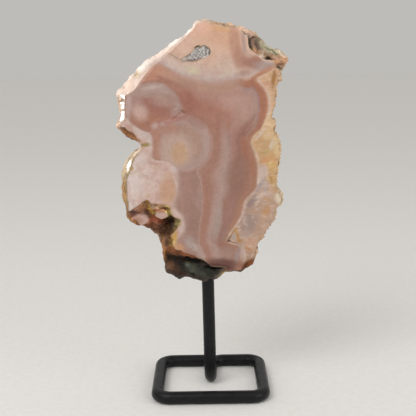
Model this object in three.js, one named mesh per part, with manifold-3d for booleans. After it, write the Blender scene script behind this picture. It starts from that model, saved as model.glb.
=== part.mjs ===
// A polished slice of pink amethyst on a stand bent from one steel rod.
// Millimetres, +Z up. The polished face looks towards -Y.
// The origin is the middle of the underside of the whole object.
import * as THREE from "three";
import { mergeVertices } from "three/addons/utils/BufferGeometryUtils.js";
import { ImprovedNoise } from "three/addons/math/ImprovedNoise.js";
import Module from "manifold-3d";

const wasm = await Module();
wasm.setup();

// ---- Driving dimensions ----

// Slice
const FACE_Y = -11; // the polished face
const THICKNESS = 18;
const BACK_Y = FACE_Y + THICKNESS; // the sawn back
const SPAN_STEPS = 3; // points along the side for each point of the outline
const CRUST_ROUGHNESS = 0.75; // how far the crust's lumps stand out
const LUMP_SIZE = 5.5; // from one lump of the crust to the next

// Stand
const ROD_DIAMETER = 6.35;
const ROD_RADIUS = ROD_DIAMETER / 2;
const ROD_SIDES = 16;
const RING_WIDTH = 54; // between the centrelines of opposite bars
const RING_CORNER = 7; // bend radius at the ring's corners
const RING_X = 2.4; // the ring's middle
const POST_BEND = 7; // bend radius where the foot turns up, and where it joins the ring
const POST_Y = -2;
const POST_LEAN = 0.8; // how far the post's top stands to the left of its foot
const POST_TOP = 74;
const FOOT_SKEW = 0.8; // how far the foot's back end stands to the right of the post
const CUT_END_BACK = 2.9; // from the foot's back end to the rod's cut end
const WELD_SIZE = [2.1, 3, 2.8]; // half sizes of the bead between the cut end and the bend
const BEND_STEPS = 6;

// Fit of the post and of the pocket's lining in the stone
const CLEARANCE = 0.3;
const SOCKET_RADIUS = ROD_RADIUS + 1.5 * CLEARANCE;
const SOCKET_SIDES = 24;
const DRILL_LENGTH = 40; // from the socket's end out past the foot of the slice

const ABOVE = 2; // how far a cut starts in front of the polished face
const FAR = 300; // past every surface of the object
const UP = new THREE.Vector3(0, 1, 0); // the axis of three.js cylinders and cones

// ---- The slice's outline ----

// Clockwise from the top, seen from the front. Each point is x, z, and how wide the rough crust shows there.
const OUTLINE = [
  // top edge
  [3, 189, 1.2],
  [11, 187, 1.4],
  [17, 186.5, 1.6],
  [24.5, 183.5, 1.4],
  // top right corner
  [30, 179, 1.4],
  [34, 175, 1.4],
  [37.5, 174, 1.4],
  [42.5, 170.5, 1.4],
  [42.7, 168, 1.4],
  [39.5, 164, 1.2],
  // right edge
  [38.5, 160.5, 0.8],
  [37, 155.5, 0.8],
  [36.5, 148.5, 0.8],
  [35, 141, 0.8],
  [36.5, 139.5, 0.8],
  [36, 135.5, 0.8],
  [37.5, 133, 0.8],
  [39, 125.5, 0.8],
  [38, 117.5, 0.8],
  [37, 112.5, 0.8],
  [37.5, 106.5, 0.8],
  [40, 102, 1.1],
  [40, 99, 1.1],
  [37, 95, 0.9],
  [35.5, 90, 0.8],
  [33, 85, 0.9],
  [28, 78.5, 0.9],
  // foot
  [27, 72.5, 1.3],
  [24.5, 67, 2.2],
  [18.5, 62.5, 2.1],
  [10.5, 62.5, 1.6],
  [6.5, 58.5, 1.6],
  [4, 59.5, 1.8],
  [0, 57.5, 2],
  [-6, 59.5, 2],
  [-9, 60.5, 2],
  [-13, 59.5, 2],
  [-17.5, 62, 2],
  [-20, 66.5, 2.6],
  [-21.5, 74, 3.8],
  [-22, 79, 3.8],
  // rim of the hollow
  [-24, 83.5, 2],
  [-31, 87, 1.6],
  [-36, 88.5, 1.6],
  [-38.5, 91.5, 2],
  // lower lobe
  [-40, 98.5, 2.4],
  [-41, 104.5, 3.2],
  [-41, 112, 3],
  [-39.5, 118.5, 4],
  [-36, 123.5, 2.4],
  // notch
  [-30.5, 128, 1],
  [-33, 131, 0.9],
  // upper lobe
  [-37.5, 132.5, 1.8],
  [-41, 136, 2.2],
  [-43, 139, 2.4],
  [-41.5, 143, 3.6],
  [-41.5, 149.5, 3.8],
  [-41.5, 155, 4.6],
  [-37, 160, 6],
  [-31, 166, 4.8],
  [-26.5, 170.5, 4.4],
  [-22.5, 172.5, 4],
  [-17.5, 176, 3.4],
  [-12, 179.5, 2.4],
  [-5, 184.5, 1.2],
  [-2, 188, 1],
];

// The side of the slice from its polished face to its sawn back. A ring lies "depth" below the face plus
// "slope" times the crust's width, and stands in from the outline by "inset" plus "share" times that width.
const SIDE_RINGS = [
  { depth: 0, slope: 0, inset: 0, share: 1, rough: 0 },
  { depth: 0.3, slope: 0.12, inset: 0, share: 0.86, rough: 0.25 },
  { depth: 0.7, slope: 0.45, inset: 0, share: 0.42, rough: 0.8 },
  { depth: 1.6, slope: 0.9, inset: 0, share: 0.1, rough: 1 },
  { depth: 7.5, slope: 0.3, inset: 0, share: 0, rough: 1.1 },
  { depth: 11.5, slope: 0.1, inset: 0.3, share: 0, rough: 1.1 },
  { depth: 15, slope: 0, inset: 0.7, share: 0, rough: 1 },
  { depth: 17.4, slope: 0, inset: 1, share: 0, rough: 0.6 },
  { depth: THICKNESS, slope: 0, inset: 1.5, share: 0, rough: 0.4 },
];

// Places where the polished face is broken away. Each outline is clockwise and can be seen whole from its
// middle. "depth" is the floor's depth at the edge and "bowl" is how much deeper its middle is.
const LIP_DEPTH = 0.4; // a broken place's wall is upright down to here
const FLOOR_EDGE = 0.96; // the floor's size where the wall meets it, as a share of the outline's
const FLOOR_MIDDLE = 0.02;
const HOLLOW = {
  middle: [-23, 91],
  depth: 3.2,
  bowl: 2.6,
  rough: 1.3,
  rings: 4,
  outline: [
    [-36, 96],
    [-33, 98],
    [-28, 101.5],
    [-26, 99.5],
    [-17, 98],
    [-16.5, 95],
    [-14.5, 92],
    [-11.5, 91],
    [-12, 88],
    [-15, 84.5],
    [-18.5, 81],
    [-25, 77],
    [-33, 80],
    [-42, 85],
    [-43, 92],
  ],
};
const FOOT_LEFT = {
  middle: [-11, 66],
  depth: 2.4,
  bowl: 1.8,
  rough: 1.3,
  rings: 4,
  outline: [
    [-17.5, 77],
    [-14, 75.5],
    [-8, 73],
    [-6, 71],
    [-2, 70],
    [0, 66],
    [-3, 54],
    [-14, 53],
    [-25, 58],
    [-27, 68],
  ],
};
const FOOT_MIDDLE = {
  middle: [4, 61],
  depth: 2.2,
  bowl: 1,
  rough: 1,
  rings: 3,
  outline: [
    [-3, 70.5],
    [1.5, 68.5],
    [3.5, 66.5],
    [9, 66],
    [11, 65],
    [12.5, 62],
    [10, 53],
    [0, 52],
    [-5, 60],
  ],
};
const CORNER = {
  middle: [29.5, 176.5],
  depth: 2.4,
  bowl: 1.4,
  rough: 1.2,
  rings: 4,
  outline: [
    [18, 187],
    [22, 190],
    [31, 186],
    [41, 178],
    [48, 170],
    [45, 163],
    [38, 164.5],
    [36.5, 166.5],
    [34.5, 168.5],
    [29, 170.5],
    [27.5, 172],
    [23.5, 175.5],
    [23, 180],
    [19, 183.5],
  ],
};
const POCKET = {
  middle: [-1.5, 173],
  depth: 3.4,
  bowl: 1.4,
  rough: 0.3,
  rings: 3,
  outline: [
    [-10, 170],
    [-8, 171.5],
    [-5, 173],
    [-4, 174],
    [-3, 176],
    [-1, 177],
    [0, 176.3],
    [2, 177],
    [4, 176],
    [5, 173.5],
    [4, 171.5],
    [1, 170.5],
    [-2.5, 169.5],
    [-6, 169],
    [-9, 169],
  ],
};

// Lumps that grow out of the broken places: middle x, depth below the face, z, and the three half sizes.
const LUMPS = [
  // two knobs in the hollow, sawn off level with the face
  { at: [-31.5, 2.2, 91], size: [4.6, 4.2, 3] },
  { at: [-21, 2.2, 93.5], size: [3.8, 3.4, 2.5] },
  // ridges on the hollow's floor
  { at: [-24.5, 6.5, 97], size: [5.5, 4.5, 2.6] },
  { at: [-22.5, 6.5, 86], size: [5, 3.4, 3.4] },
  { at: [-33, 6.5, 95.5], size: [4, 3.2, 2.4] },
  // matrix at the foot
  { at: [-15.5, 4.6, 65], size: [5, 3.4, 4] },
  { at: [-12, 4.2, 71], size: [5, 2.8, 2.6] },
  { at: [-6.5, 4.8, 65.5], size: [4.4, 3, 4] },
  { at: [-1.5, 4.6, 62], size: [3.8, 3, 3.6] },
  { at: [5, 4.4, 61.5], size: [3.6, 2.6, 2.6] },
  // ledges of the top right corner
  { at: [24, 3.4, 181.5], size: [3.6, 2, 1.4] },
  { at: [31.5, 3.8, 173.5], size: [5, 2.6, 2.2] },
  { at: [37.5, 3.2, 168.5], size: [4, 2.6, 2.6] },
];
const LUMP_DETAIL = 1;
const LUMP_SWELL = 0.16; // how uneven a lump is, as a share of its size

// Crystals of the pocket
const CRYSTAL_COUNT = 30;
const CRYSTAL_SEED = 11;
const GOLDEN_ANGLE = Math.PI * (3 - Math.sqrt(5));
const CRYSTAL_RADIUS = [0.65, 1.15];
const CRYSTAL_HEIGHT = [2, 3.4]; // from the crust's underside
const LINING = 0.9; // thickness of the crust that they grow from
// How far the crystals reach from the pocket's middle: to the left, to the right, and up or down.
const REACH = { left: 7.6, right: 5.6, upright: 3.2 };
const RISE = 0.08; // the pocket slants up to the right
const FORWARD = 1.4; // how much a crystal points at the viewer rather than sideways

// ---- Materials ----

const AMETHYST = new THREE.MeshStandardMaterial({ color: 0xb98a7c, roughness: 0.2, metalness: 0 });
const DRUZE = new THREE.MeshStandardMaterial({ color: 0x8d8d8f, roughness: 0.3, metalness: 0 });
const BLACK_PAINT = new THREE.MeshStandardMaterial({ color: 0x151515, roughness: 0.45, metalness: 0 });

// ---- Solids ----

function geometryOf(positions, triangles) {
  const geometry = new THREE.BufferGeometry();
  geometry.setAttribute("position", new THREE.BufferAttribute(new Float32Array(positions), 3));
  geometry.setIndex(triangles);
  return geometry;
}

// A closed geometry as a manifold-3d solid.
function solidOf(geometry) {
  const bare = geometry.clone();
  bare.deleteAttribute("normal");
  bare.deleteAttribute("uv");
  const merged = mergeVertices(bare, 1e-4);
  return new wasm.Manifold(
    new wasm.Mesh({
      numProp: 3,
      vertProperties: merged.attributes.position.array,
      triVerts: new Uint32Array(merged.index.array),
    }),
  );
}

function meshOf(name, solid, material) {
  const { vertProperties, triVerts } = solid.getMesh();
  const geometry = geometryOf(vertProperties, new THREE.BufferAttribute(triVerts, 1));
  geometry.computeVertexNormals();
  const mesh = new THREE.Mesh(geometry, material);
  mesh.name = name;
  return mesh;
}

// The largest body of a solid, without loose crumbs and with sealed cavities filled.
function mainBody(solid) {
  return solid.decompose().reduce((a, b) => (a.volume() > b.volume() ? a : b));
}

function boxOf(min, max) {
  const size = new THREE.Vector3().subVectors(max, min);
  const middle = new THREE.Vector3().addVectors(min, max).multiplyScalar(0.5);
  return solidOf(new THREE.BoxGeometry(size.x, size.y, size.z).translate(middle.x, middle.y, middle.z));
}

// ---- Rough surfaces ----

const perlin = new ImprovedNoise();

// Smooth noise of about -1 to 1 with two finer octaves on it.
function roughness(point, cell) {
  const at = point.clone().divideScalar(cell);
  const coarse = perlin.noise(at.x, at.y, at.z);
  const middle = perlin.noise(2.1 * at.x + 7, 2.1 * at.y + 3, 2.1 * at.z);
  const fine = perlin.noise(4.3 * at.x, 4.3 * at.y + 5, 4.3 * at.z + 9);
  return 1.2 * coarse + 0.7 * middle + 0.4 * fine;
}

// The direction into the outline at each point of a clockwise ring in the XZ plane.
function inwards(ring) {
  const reach = 2;
  return ring.map((_, i) => {
    const before = ring.at(i - reach);
    const after = ring[(i + reach) % ring.length];
    return new THREE.Vector3(after.z - before.z, 0, before.x - after.x).normalize();
  });
}

// A smooth closed ring through the outline's points. Its y holds the third number of each point.
function smoothRing(outline, stepsPerPoint) {
  const corners = outline.map(([x, z, third = 0]) => new THREE.Vector3(x, third, z));
  const curve = new THREE.CatmullRomCurve3(corners, true, "catmullrom", 0.35);
  return curve.getPoints(corners.length * stepsPerPoint).slice(0, -1);
}

// Joins rings of equal length, from front to back, into one closed surface with flat ends.
function loft(rings) {
  const count = rings[0].length;
  const last = (rings.length - 1) * count;
  const positions = rings.flat().flatMap((point) => [point.x, point.y, point.z]);
  const triangles = [];
  for (let start = 0; start < last; start += count) {
    for (let i = 0; i < count; i++) {
      const a = start + i;
      const b = start + ((i + 1) % count);
      triangles.push(a, b, a + count, b, b + count, a + count);
    }
  }
  const flat = (ring) => ring.map((point) => new THREE.Vector2(point.x, point.z));
  for (const [a, b, c] of THREE.ShapeUtils.triangulateShape(flat(rings[0]), [])) {
    triangles.push(a, b, c);
  }
  for (const [a, b, c] of THREE.ShapeUtils.triangulateShape(flat(rings.at(-1)), [])) {
    triangles.push(last + a, last + c, last + b);
  }
  return geometryOf(positions, triangles);
}

// ---- Slice ----

function sliceBlank() {
  const ring = smoothRing(OUTLINE, SPAN_STEPS);
  const inward = inwards(ring);
  const rings = SIDE_RINGS.map(({ depth, slope, inset, share, rough }) =>
    ring.map((point, i) => {
      const crust = point.y;
      const placed = point.clone().addScaledVector(inward[i], inset + share * crust);
      placed.y = FACE_Y + depth + slope * crust;
      const bump = CRUST_ROUGHNESS * rough * roughness(placed, LUMP_SIZE);
      return placed.addScaledVector(inward[i], -bump);
    }),
  );
  const flatten = (points, y) => points.forEach((point) => (point.y = y));
  flatten(rings[0], FACE_Y);
  flatten(rings.at(-1), BACK_Y);
  return solidOf(loft(rings));
}

// What is missing in front of a broken place's floor, narrowed by "inset", with the floor raised by "lift".
function hollowSpace({ middle, depth, bowl, rough, rings, outline }, inset = 0, lift = 0) {
  const edge = smoothRing(outline, 2);
  const inward = inwards(edge);
  edge.forEach((point, i) => point.addScaledVector(inward[i], inset));
  const level = (y, scale) =>
    edge.map((point) => {
      const x = middle[0] + (point.x - middle[0]) * scale;
      const z = middle[1] + (point.z - middle[1]) * scale;
      return new THREE.Vector3(x, y, z);
    });
  const levels = [level(FACE_Y - ABOVE, 1), level(FACE_Y + LIP_DEPTH, 1)];
  for (let step = 0; step < rings; step++) {
    const scale = THREE.MathUtils.lerp(FLOOR_EDGE, FLOOR_MIDDLE, step / rings);
    const floor = level(FACE_Y + depth + bowl * (1 - scale * scale) - lift, scale);
    floor.forEach((point) => (point.y += rough * roughness(point, LUMP_SIZE)));
    levels.push(floor);
  }
  return solidOf(loft(levels));
}

function lump({ at, size }) {
  const geometry = new THREE.IcosahedronGeometry(1, LUMP_DETAIL);
  geometry.scale(...size);
  geometry.translate(at[0], FACE_Y + at[1], at[2]);
  const position = geometry.attributes.position;
  const middle = new THREE.Vector3(at[0], FACE_Y + at[1], at[2]);
  for (let i = 0; i < position.count; i++) {
    const point = new THREE.Vector3().fromBufferAttribute(position, i);
    const swell = 1 + LUMP_SWELL * roughness(point, LUMP_SIZE / 2);
    point.sub(middle).multiplyScalar(swell).add(middle);
    position.setXYZ(i, point.x, point.y, point.z);
  }
  return solidOf(geometry);
}

const postBottom = new THREE.Vector3(RING_X, POST_Y, ROD_RADIUS);
const postTop = new THREE.Vector3(RING_X - POST_LEAN, POST_Y, POST_TOP);

// The hole drilled up into the stone for the post.
function socketSpace() {
  const direction = new THREE.Vector3().subVectors(postTop, postBottom).normalize();
  const geometry = new THREE.CylinderGeometry(SOCKET_RADIUS, SOCKET_RADIUS, DRILL_LENGTH, SOCKET_SIDES);
  geometry.applyQuaternion(new THREE.Quaternion().setFromUnitVectors(UP, direction));
  const middle = postTop.clone().addScaledVector(direction, CLEARANCE - DRILL_LENGTH / 2);
  geometry.translate(middle.x, middle.y, middle.z);
  return solidOf(geometry);
}

function makeSlice() {
  const slab = boxOf(new THREE.Vector3(-FAR, FACE_Y, -FAR), new THREE.Vector3(FAR, BACK_Y, FAR));
  let stone = sliceBlank();
  for (const place of [HOLLOW, FOOT_LEFT, FOOT_MIDDLE, CORNER]) {
    stone = stone.subtract(hollowSpace(place));
  }
  for (const form of LUMPS) {
    stone = stone.add(lump(form).intersect(slab));
  }
  stone = stone.subtract(hollowSpace(POCKET));
  stone = mainBody(stone.subtract(socketSpace()));
  return meshOf("slice", stone, AMETHYST);
}

// ---- Crystals of the pocket ----

function crystal(foot, direction, radius, height) {
  const geometry = new THREE.ConeGeometry(radius, height, 6);
  geometry.translate(0, height / 2 - LINING / 2, 0);
  geometry.applyQuaternion(new THREE.Quaternion().setFromUnitVectors(UP, direction));
  geometry.translate(foot.x, foot.y, foot.z);
  return solidOf(geometry);
}

function makePocketCrystals() {
  const random = THREE.MathUtils.seededRandom;
  random(CRYSTAL_SEED);
  const room = hollowSpace(POCKET, CLEARANCE, CLEARANCE);
  const front = boxOf(new THREE.Vector3(-FAR, -FAR, -FAR), new THREE.Vector3(FAR, FACE_Y + CLEARANCE, FAR));
  let crust = room.subtract(hollowSpace(POCKET, 0, CLEARANCE + LINING));
  crust = crust.subtract(front);
  for (let i = 0; i < CRYSTAL_COUNT; i++) {
    // a golden-angle spiral over the floor
    const out = Math.sqrt((i + 0.5) / CRYSTAL_COUNT);
    const across = Math.cos(i * GOLDEN_ANGLE);
    const x = POCKET.middle[0] + out * across * (across < 0 ? REACH.left : REACH.right);
    const z = POCKET.middle[1] + out * Math.sin(i * GOLDEN_ANGLE) * REACH.upright + RISE * x;
    const floor = POCKET.depth + POCKET.bowl * (1 - out * out) - CLEARANCE - LINING;
    const foot = new THREE.Vector3(x, FACE_Y + floor, z);
    const direction = new THREE.Vector3(random() - 0.5, -FORWARD, random() - 0.5).normalize();
    const radius = THREE.MathUtils.lerp(...CRYSTAL_RADIUS, random());
    const height = THREE.MathUtils.lerp(...CRYSTAL_HEIGHT, random());
    crust = crust.add(crystal(foot, direction, radius, height));
  }
  crust = crust.intersect(room).subtract(front);
  return meshOf("pocket_crystals", mainBody(crust), DRUZE);
}

// ---- Stand ----

// The rod's centreline. A straight stretch is one step, and a bend is BEND_STEPS steps.
class RodPath extends THREE.Curve {
  constructor(corners) {
    super();
    this.points = [corners[0].at.clone()];
    this.tangents = [corners[1].at.clone().sub(corners[0].at).normalize()];
    for (let i = 1; i < corners.length - 1; i++) {
      this.addBend(corners[i - 1].at, corners[i], corners[i + 1].at);
    }
    this.points.push(corners.at(-1).at.clone());
    this.tangents.push(this.tangents.at(-1).clone());
  }

  addBend(before, { at, bend }, after) {
    const arriving = at.clone().sub(before).normalize();
    const leaving = after.clone().sub(at).normalize();
    const angle = arriving.angleTo(leaving);
    const axis = new THREE.Vector3().crossVectors(arriving, leaving).normalize();
    const start = at.clone().addScaledVector(arriving, -bend * Math.tan(angle / 2));
    const centre = start.clone().addScaledVector(new THREE.Vector3().crossVectors(axis, arriving), bend);
    for (let step = 0; step <= BEND_STEPS; step++) {
      const turned = (angle * step) / BEND_STEPS;
      this.points.push(start.clone().sub(centre).applyAxisAngle(axis, turned).add(centre));
      this.tangents.push(arriving.clone().applyAxisAngle(axis, turned));
    }
  }

  get steps() {
    return this.points.length - 1;
  }

  getPointAt(share) {
    return this.points[Math.round(share * this.steps)].clone();
  }

  getTangentAt(share) {
    return this.tangents[Math.round(share * this.steps)].clone();
  }
}

// The rod's section has a flat downwards, so that the ring rests on real flat faces.
function rodSection() {
  const corners = [];
  for (let side = 0; side < ROD_SIDES; side++) {
    const angle = ((side + 0.5) * 2 * Math.PI) / ROD_SIDES;
    const radius = ROD_RADIUS / Math.cos(Math.PI / ROD_SIDES);
    corners.push(new THREE.Vector2(radius * Math.cos(angle), radius * Math.sin(angle)));
  }
  return new THREE.Shape(corners);
}

function makeStand() {
  const half = RING_WIDTH / 2;
  const onTable = (x, y) => new THREE.Vector3(x, y, ROD_RADIUS);
  const footX = RING_X + FOOT_SKEW;
  const cutEndX = footX - CUT_END_BACK;
  const path = new RodPath([
    { at: onTable(cutEndX, half) },
    { at: onTable(RING_X - half, half), bend: RING_CORNER },
    { at: onTable(RING_X - half, -half), bend: RING_CORNER },
    { at: onTable(RING_X + half, -half), bend: RING_CORNER },
    { at: onTable(RING_X + half, half), bend: RING_CORNER },
    { at: onTable(footX, half), bend: POST_BEND },
    { at: postBottom, bend: POST_BEND },
    { at: postTop },
  ]);
  const sweep = { extrudePath: path, steps: path.steps, bevelEnabled: false };
  const rod = solidOf(new THREE.ExtrudeGeometry(rodSection(), sweep));
  const bead = new THREE.SphereGeometry(1, 14, 10);
  bead.scale(...WELD_SIZE);
  bead.translate(cutEndX + WELD_SIZE[0] / 2, half, ROD_RADIUS);
  return meshOf("stand", rod.add(solidOf(bead)), BLACK_PAINT);
}

const amethystSlice = new THREE.Group();
amethystSlice.add(makeSlice(), makePocketCrystals(), makeStand());

export default amethystSlice;
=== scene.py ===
"""A polished slice of pink amethyst on a stand bent from one steel rod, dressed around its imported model.

Everything is in metres, in the model's own frame: +Z up, the polished face towards -Y, the origin under
the middle.
The growth bands of the stone are laid out in millimetres, which is the easier scale for a map of them.
"""

import math
import random

import bpy
import numpy as np
from bpy.props import FloatProperty, FloatVectorProperty, IntProperty, PointerProperty
from mathutils import Matrix, Vector
from mathutils.kdtree import KDTree


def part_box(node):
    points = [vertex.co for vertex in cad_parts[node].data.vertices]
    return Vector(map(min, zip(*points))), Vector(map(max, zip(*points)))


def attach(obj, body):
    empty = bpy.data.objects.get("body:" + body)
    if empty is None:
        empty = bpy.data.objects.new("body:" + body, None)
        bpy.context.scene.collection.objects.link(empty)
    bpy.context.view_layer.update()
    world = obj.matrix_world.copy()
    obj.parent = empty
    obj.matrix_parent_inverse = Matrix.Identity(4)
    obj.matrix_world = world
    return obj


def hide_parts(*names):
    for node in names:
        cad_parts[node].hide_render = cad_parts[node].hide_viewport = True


bl_info = {
    "name": "Amethyst Slice",
    "version": (1, 0, 0),
    "blender": (4, 5, 0),
    "location": "3D Viewport > Sidebar > Amethyst",
    "description": "Makes a polished pink amethyst slice, its crystal pocket, its rod stand and a studio",
    "category": "Object",
}

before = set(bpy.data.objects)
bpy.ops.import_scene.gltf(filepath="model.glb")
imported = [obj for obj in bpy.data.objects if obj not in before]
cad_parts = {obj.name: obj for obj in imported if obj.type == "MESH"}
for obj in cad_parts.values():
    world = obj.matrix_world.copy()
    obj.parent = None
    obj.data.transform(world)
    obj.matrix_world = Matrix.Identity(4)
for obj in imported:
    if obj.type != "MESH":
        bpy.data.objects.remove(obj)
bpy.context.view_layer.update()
SLICE_LOW, SLICE_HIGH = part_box("slice")
STAND_LOW, STAND_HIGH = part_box("stand")
POCKET_LOW, POCKET_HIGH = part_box("pocket_crystals")
FACE_Y = SLICE_LOW.y
BACK_Y = SLICE_HIGH.y
MM = 0.001

# The stand's rod
ROD_RADIUS = 3.175 * MM
BEND_RADIUS = 7 * MM
POST_Y = -2 * MM
POST_LEAN = 0.8 * MM
FOOT_SKEW = 0.8 * MM
CUT_END_BACK = 2.9 * MM
WELD_SIZE = (2.1 * MM, 3 * MM, 2.8 * MM)
RIPPLE_SIZE = 1.6 * MM
RIPPLE_HEIGHT = 0.5 * MM
SOCKET_X = (STAND_LOW.x + STAND_HIGH.x) / 2 - POST_LEAN

# The stone and its crystals
RIM_REACH = 5 * MM
LUMP_SIZE = 4.2 * MM
GRIT_SIZE = 1.4 * MM
TOOTH_SIZE = 2.1 * MM
MERGE_REACH = 1e-6
QUARTZ_IOR = 1.54
# How wide the pocket's bed is copied, until it meets the stone round it
BED_SPREAD = (1.05, 1, 1.1)
BED_BEVEL = 0.08 * MM
# How deep one crystal is rooted in the bed, its prism and its cap, in widths of the crystal
CRYSTAL_ROOT = 0.8
CRYSTAL_PRISM = 0.62
CRYSTAL_CAP = 0.12
# The depth that a crystal needs behind the polished face, in the same widths
CRYSTAL_ROOM = 1.6


# ---- Settings ----


def paint(code):
    """The linear colour of a six-digit sRGB code."""
    shares = [int(code[i : i + 2], 16) / 255 for i in (0, 2, 4)]
    return tuple(s / 12.92 if s <= 0.04045 else ((s + 0.055) / 1.055) ** 2.4 for s in shares)


def tint(name, description, code):
    return FloatVectorProperty(
        name=name, description=description, subtype="COLOR", size=3, min=0, max=1, default=paint(code)
    )


def length(name, description, metres):
    return FloatProperty(
        name=name, description=description, unit="LENGTH", min=0, precision=5, default=metres
    )


def count(name, description, least, most, number):
    return IntProperty(name=name, description=description, min=least, max=most, default=number)


def power(name, description, watts):
    return FloatProperty(name=name, description=description, unit="POWER", default=watts)


class StoneSettings(bpy.types.PropertyGroup):
    grain: length("Grain", "Spacing of the stone's mesh", 0.00045)
    lumps: length("Lumps", "How far the crust's lumps stand out", 0.0012)
    grit: length("Grit", "How far the crust's small grains stand out", 0.0006)
    teeth: length("Teeth", "How far the teeth at the right stand out", 0.002)
    crust: tint("Crust", "The chalky crust at the shoulder", "E2CBBB")
    # a brown for the crust's low places, partly earth and partly painted shade
    crevice_brown_and_shade: tint("Earth", "The brown skin under the lobes", "6E5038")


class PocketSettings(bpy.types.PropertyGroup):
    crystals: count("Crystals", "Crystals tried in the pocket", 10, 2000, 800)
    width: length("Width", "Width of a typical crystal", 0.0008)
    druze: tint("Druze", "Colour of the pocket's crystals", "EBEAEA")


class StandSettings(bpy.types.PropertyGroup):
    sides: count("Sides", "Sides of the rod's section", 8, 64, 32)
    bend_steps: count("Bend steps", "Steps round each bend", 4, 64, 16)
    enamel: tint("Enamel", "The rod's satin black paint", "0C0C0E")


class StudioSettings(bpy.types.PropertyGroup):
    table: tint("Table", "The pale table top", "F4F2EE")
    key: power("Key light", "Power of the large soft light", 3.65)
    window: power("Window", "Power of the narrow light at the left", 7.5)
    fill: power("Fill light", "Power of the soft light at the right", 2)
    ceiling: power("Ceiling", "Power of the soft ceiling", 490)
    sky: FloatProperty(name="Sky", description="Strength of the room's own light", min=0, default=0.37)


# ---- Handling pieces ----


def only(piece):
    """Selects one piece and nothing else."""
    if bpy.context.object and bpy.context.object.mode != "OBJECT":
        bpy.ops.object.mode_set(mode="OBJECT")
    bpy.ops.object.select_all(action="DESELECT")
    piece.select_set(True)
    bpy.context.view_layer.objects.active = piece


def edit_all():
    """Opens the active piece's mesh with all of it selected."""
    bpy.ops.object.mode_set(mode="EDIT")
    bpy.ops.mesh.select_all(action="SELECT")


def extrude(offset):
    bpy.ops.mesh.extrude_region_move(TRANSFORM_OT_translate={"value": offset})


def close_edit():
    """Turns every face outward and closes the mesh."""
    bpy.ops.mesh.select_all(action="SELECT")
    bpy.ops.mesh.normals_make_consistent(inside=False)
    bpy.ops.object.mode_set(mode="OBJECT")


def add_circle(name, **settings):
    """A new flat ring of points, as the active piece."""
    bpy.ops.object.select_all(action="DESELECT")
    bpy.ops.mesh.primitive_circle_add(**settings)
    bpy.context.object.name = name
    return bpy.context.object


def copy_of(node, name):
    """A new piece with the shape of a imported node, its loose triangles merged."""
    piece = bpy.data.objects.new(name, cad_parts[node].data.copy())
    bpy.context.scene.collection.objects.link(piece)
    piece.data.materials.clear()
    only(piece)
    edit_all()
    bpy.ops.mesh.remove_doubles(threshold=MERGE_REACH)
    bpy.ops.object.mode_set(mode="OBJECT")
    return piece


def apply_modifier(piece, kind, **settings):
    only(piece)
    modifier = piece.modifiers.new(kind.title(), kind)
    for name, value in settings.items():
        setattr(modifier, name, value)
    bpy.ops.object.modifier_apply(modifier=modifier.name)


def displace(piece, texture, strength, mid_level=0.5, **settings):
    """Pushes the surface out along its normals by a texture in the piece's own space."""
    settings.update(texture=texture, texture_coords="LOCAL", mid_level=mid_level, strength=strength)
    apply_modifier(piece, "DISPLACE", **settings)


def settle(piece):
    """Puts a piece's place into its mesh."""
    only(piece)
    bpy.ops.object.transform_apply(location=True, rotation=True, scale=True)


def places_of(piece):
    places = np.empty(len(piece.data.vertices) * 3)
    piece.data.vertices.foreach_get("co", places)
    return places.reshape(-1, 3)


def move_to(piece, places):
    piece.data.vertices.foreach_set("co", places.ravel())
    piece.data.update()


def smooth(values, low, high):
    """0 below low, 1 above high, and an even slope between."""
    share = np.clip((values - low) / (high - low), 0, 1)
    return share * share * (3 - 2 * share)


def inside_patch(x, z, middle_x, middle_z, half_width, half_height, turn, softness):
    """How far each point lies inside a soft turned ellipse, from 0 to 1. The softness is in percent."""
    angle = math.radians(turn)
    along = (x - middle_x) * math.cos(angle) + (z - middle_z) * math.sin(angle)
    across = (z - middle_z) * math.cos(angle) - (x - middle_x) * math.sin(angle)
    edge = softness / 100
    return 1 - smooth(np.hypot(along / half_width, across / half_height), 1 - edge, 1 + edge)


def weigh(piece, name, weights):
    """A vertex group with the given weights, in sixteen steps."""
    group = piece.vertex_groups.new(name=name)
    steps = np.rint(weights * 16).astype(int)
    for step in range(1, 17):
        group.add(np.flatnonzero(steps == step).tolist(), step / 16, "REPLACE")


def write_attribute(piece, name, values):
    """A number for every vertex, for the materials to read."""
    attribute = piece.data.attributes.new(name, "FLOAT", "POINT")
    attribute.data.foreach_set("value", values)


def make_texture(name, kind, size, **settings):
    texture = bpy.data.textures.new(name, kind)
    texture.noise_scale = size
    for setting, value in settings.items():
        setattr(texture, setting, value)
    return texture


def finish_piece(piece, material, node):
    piece.data.materials.clear()
    piece.data.materials.append(bpy.data.materials[material])
    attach(piece, "root")
    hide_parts(node)


# ---- Node work ----


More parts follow.
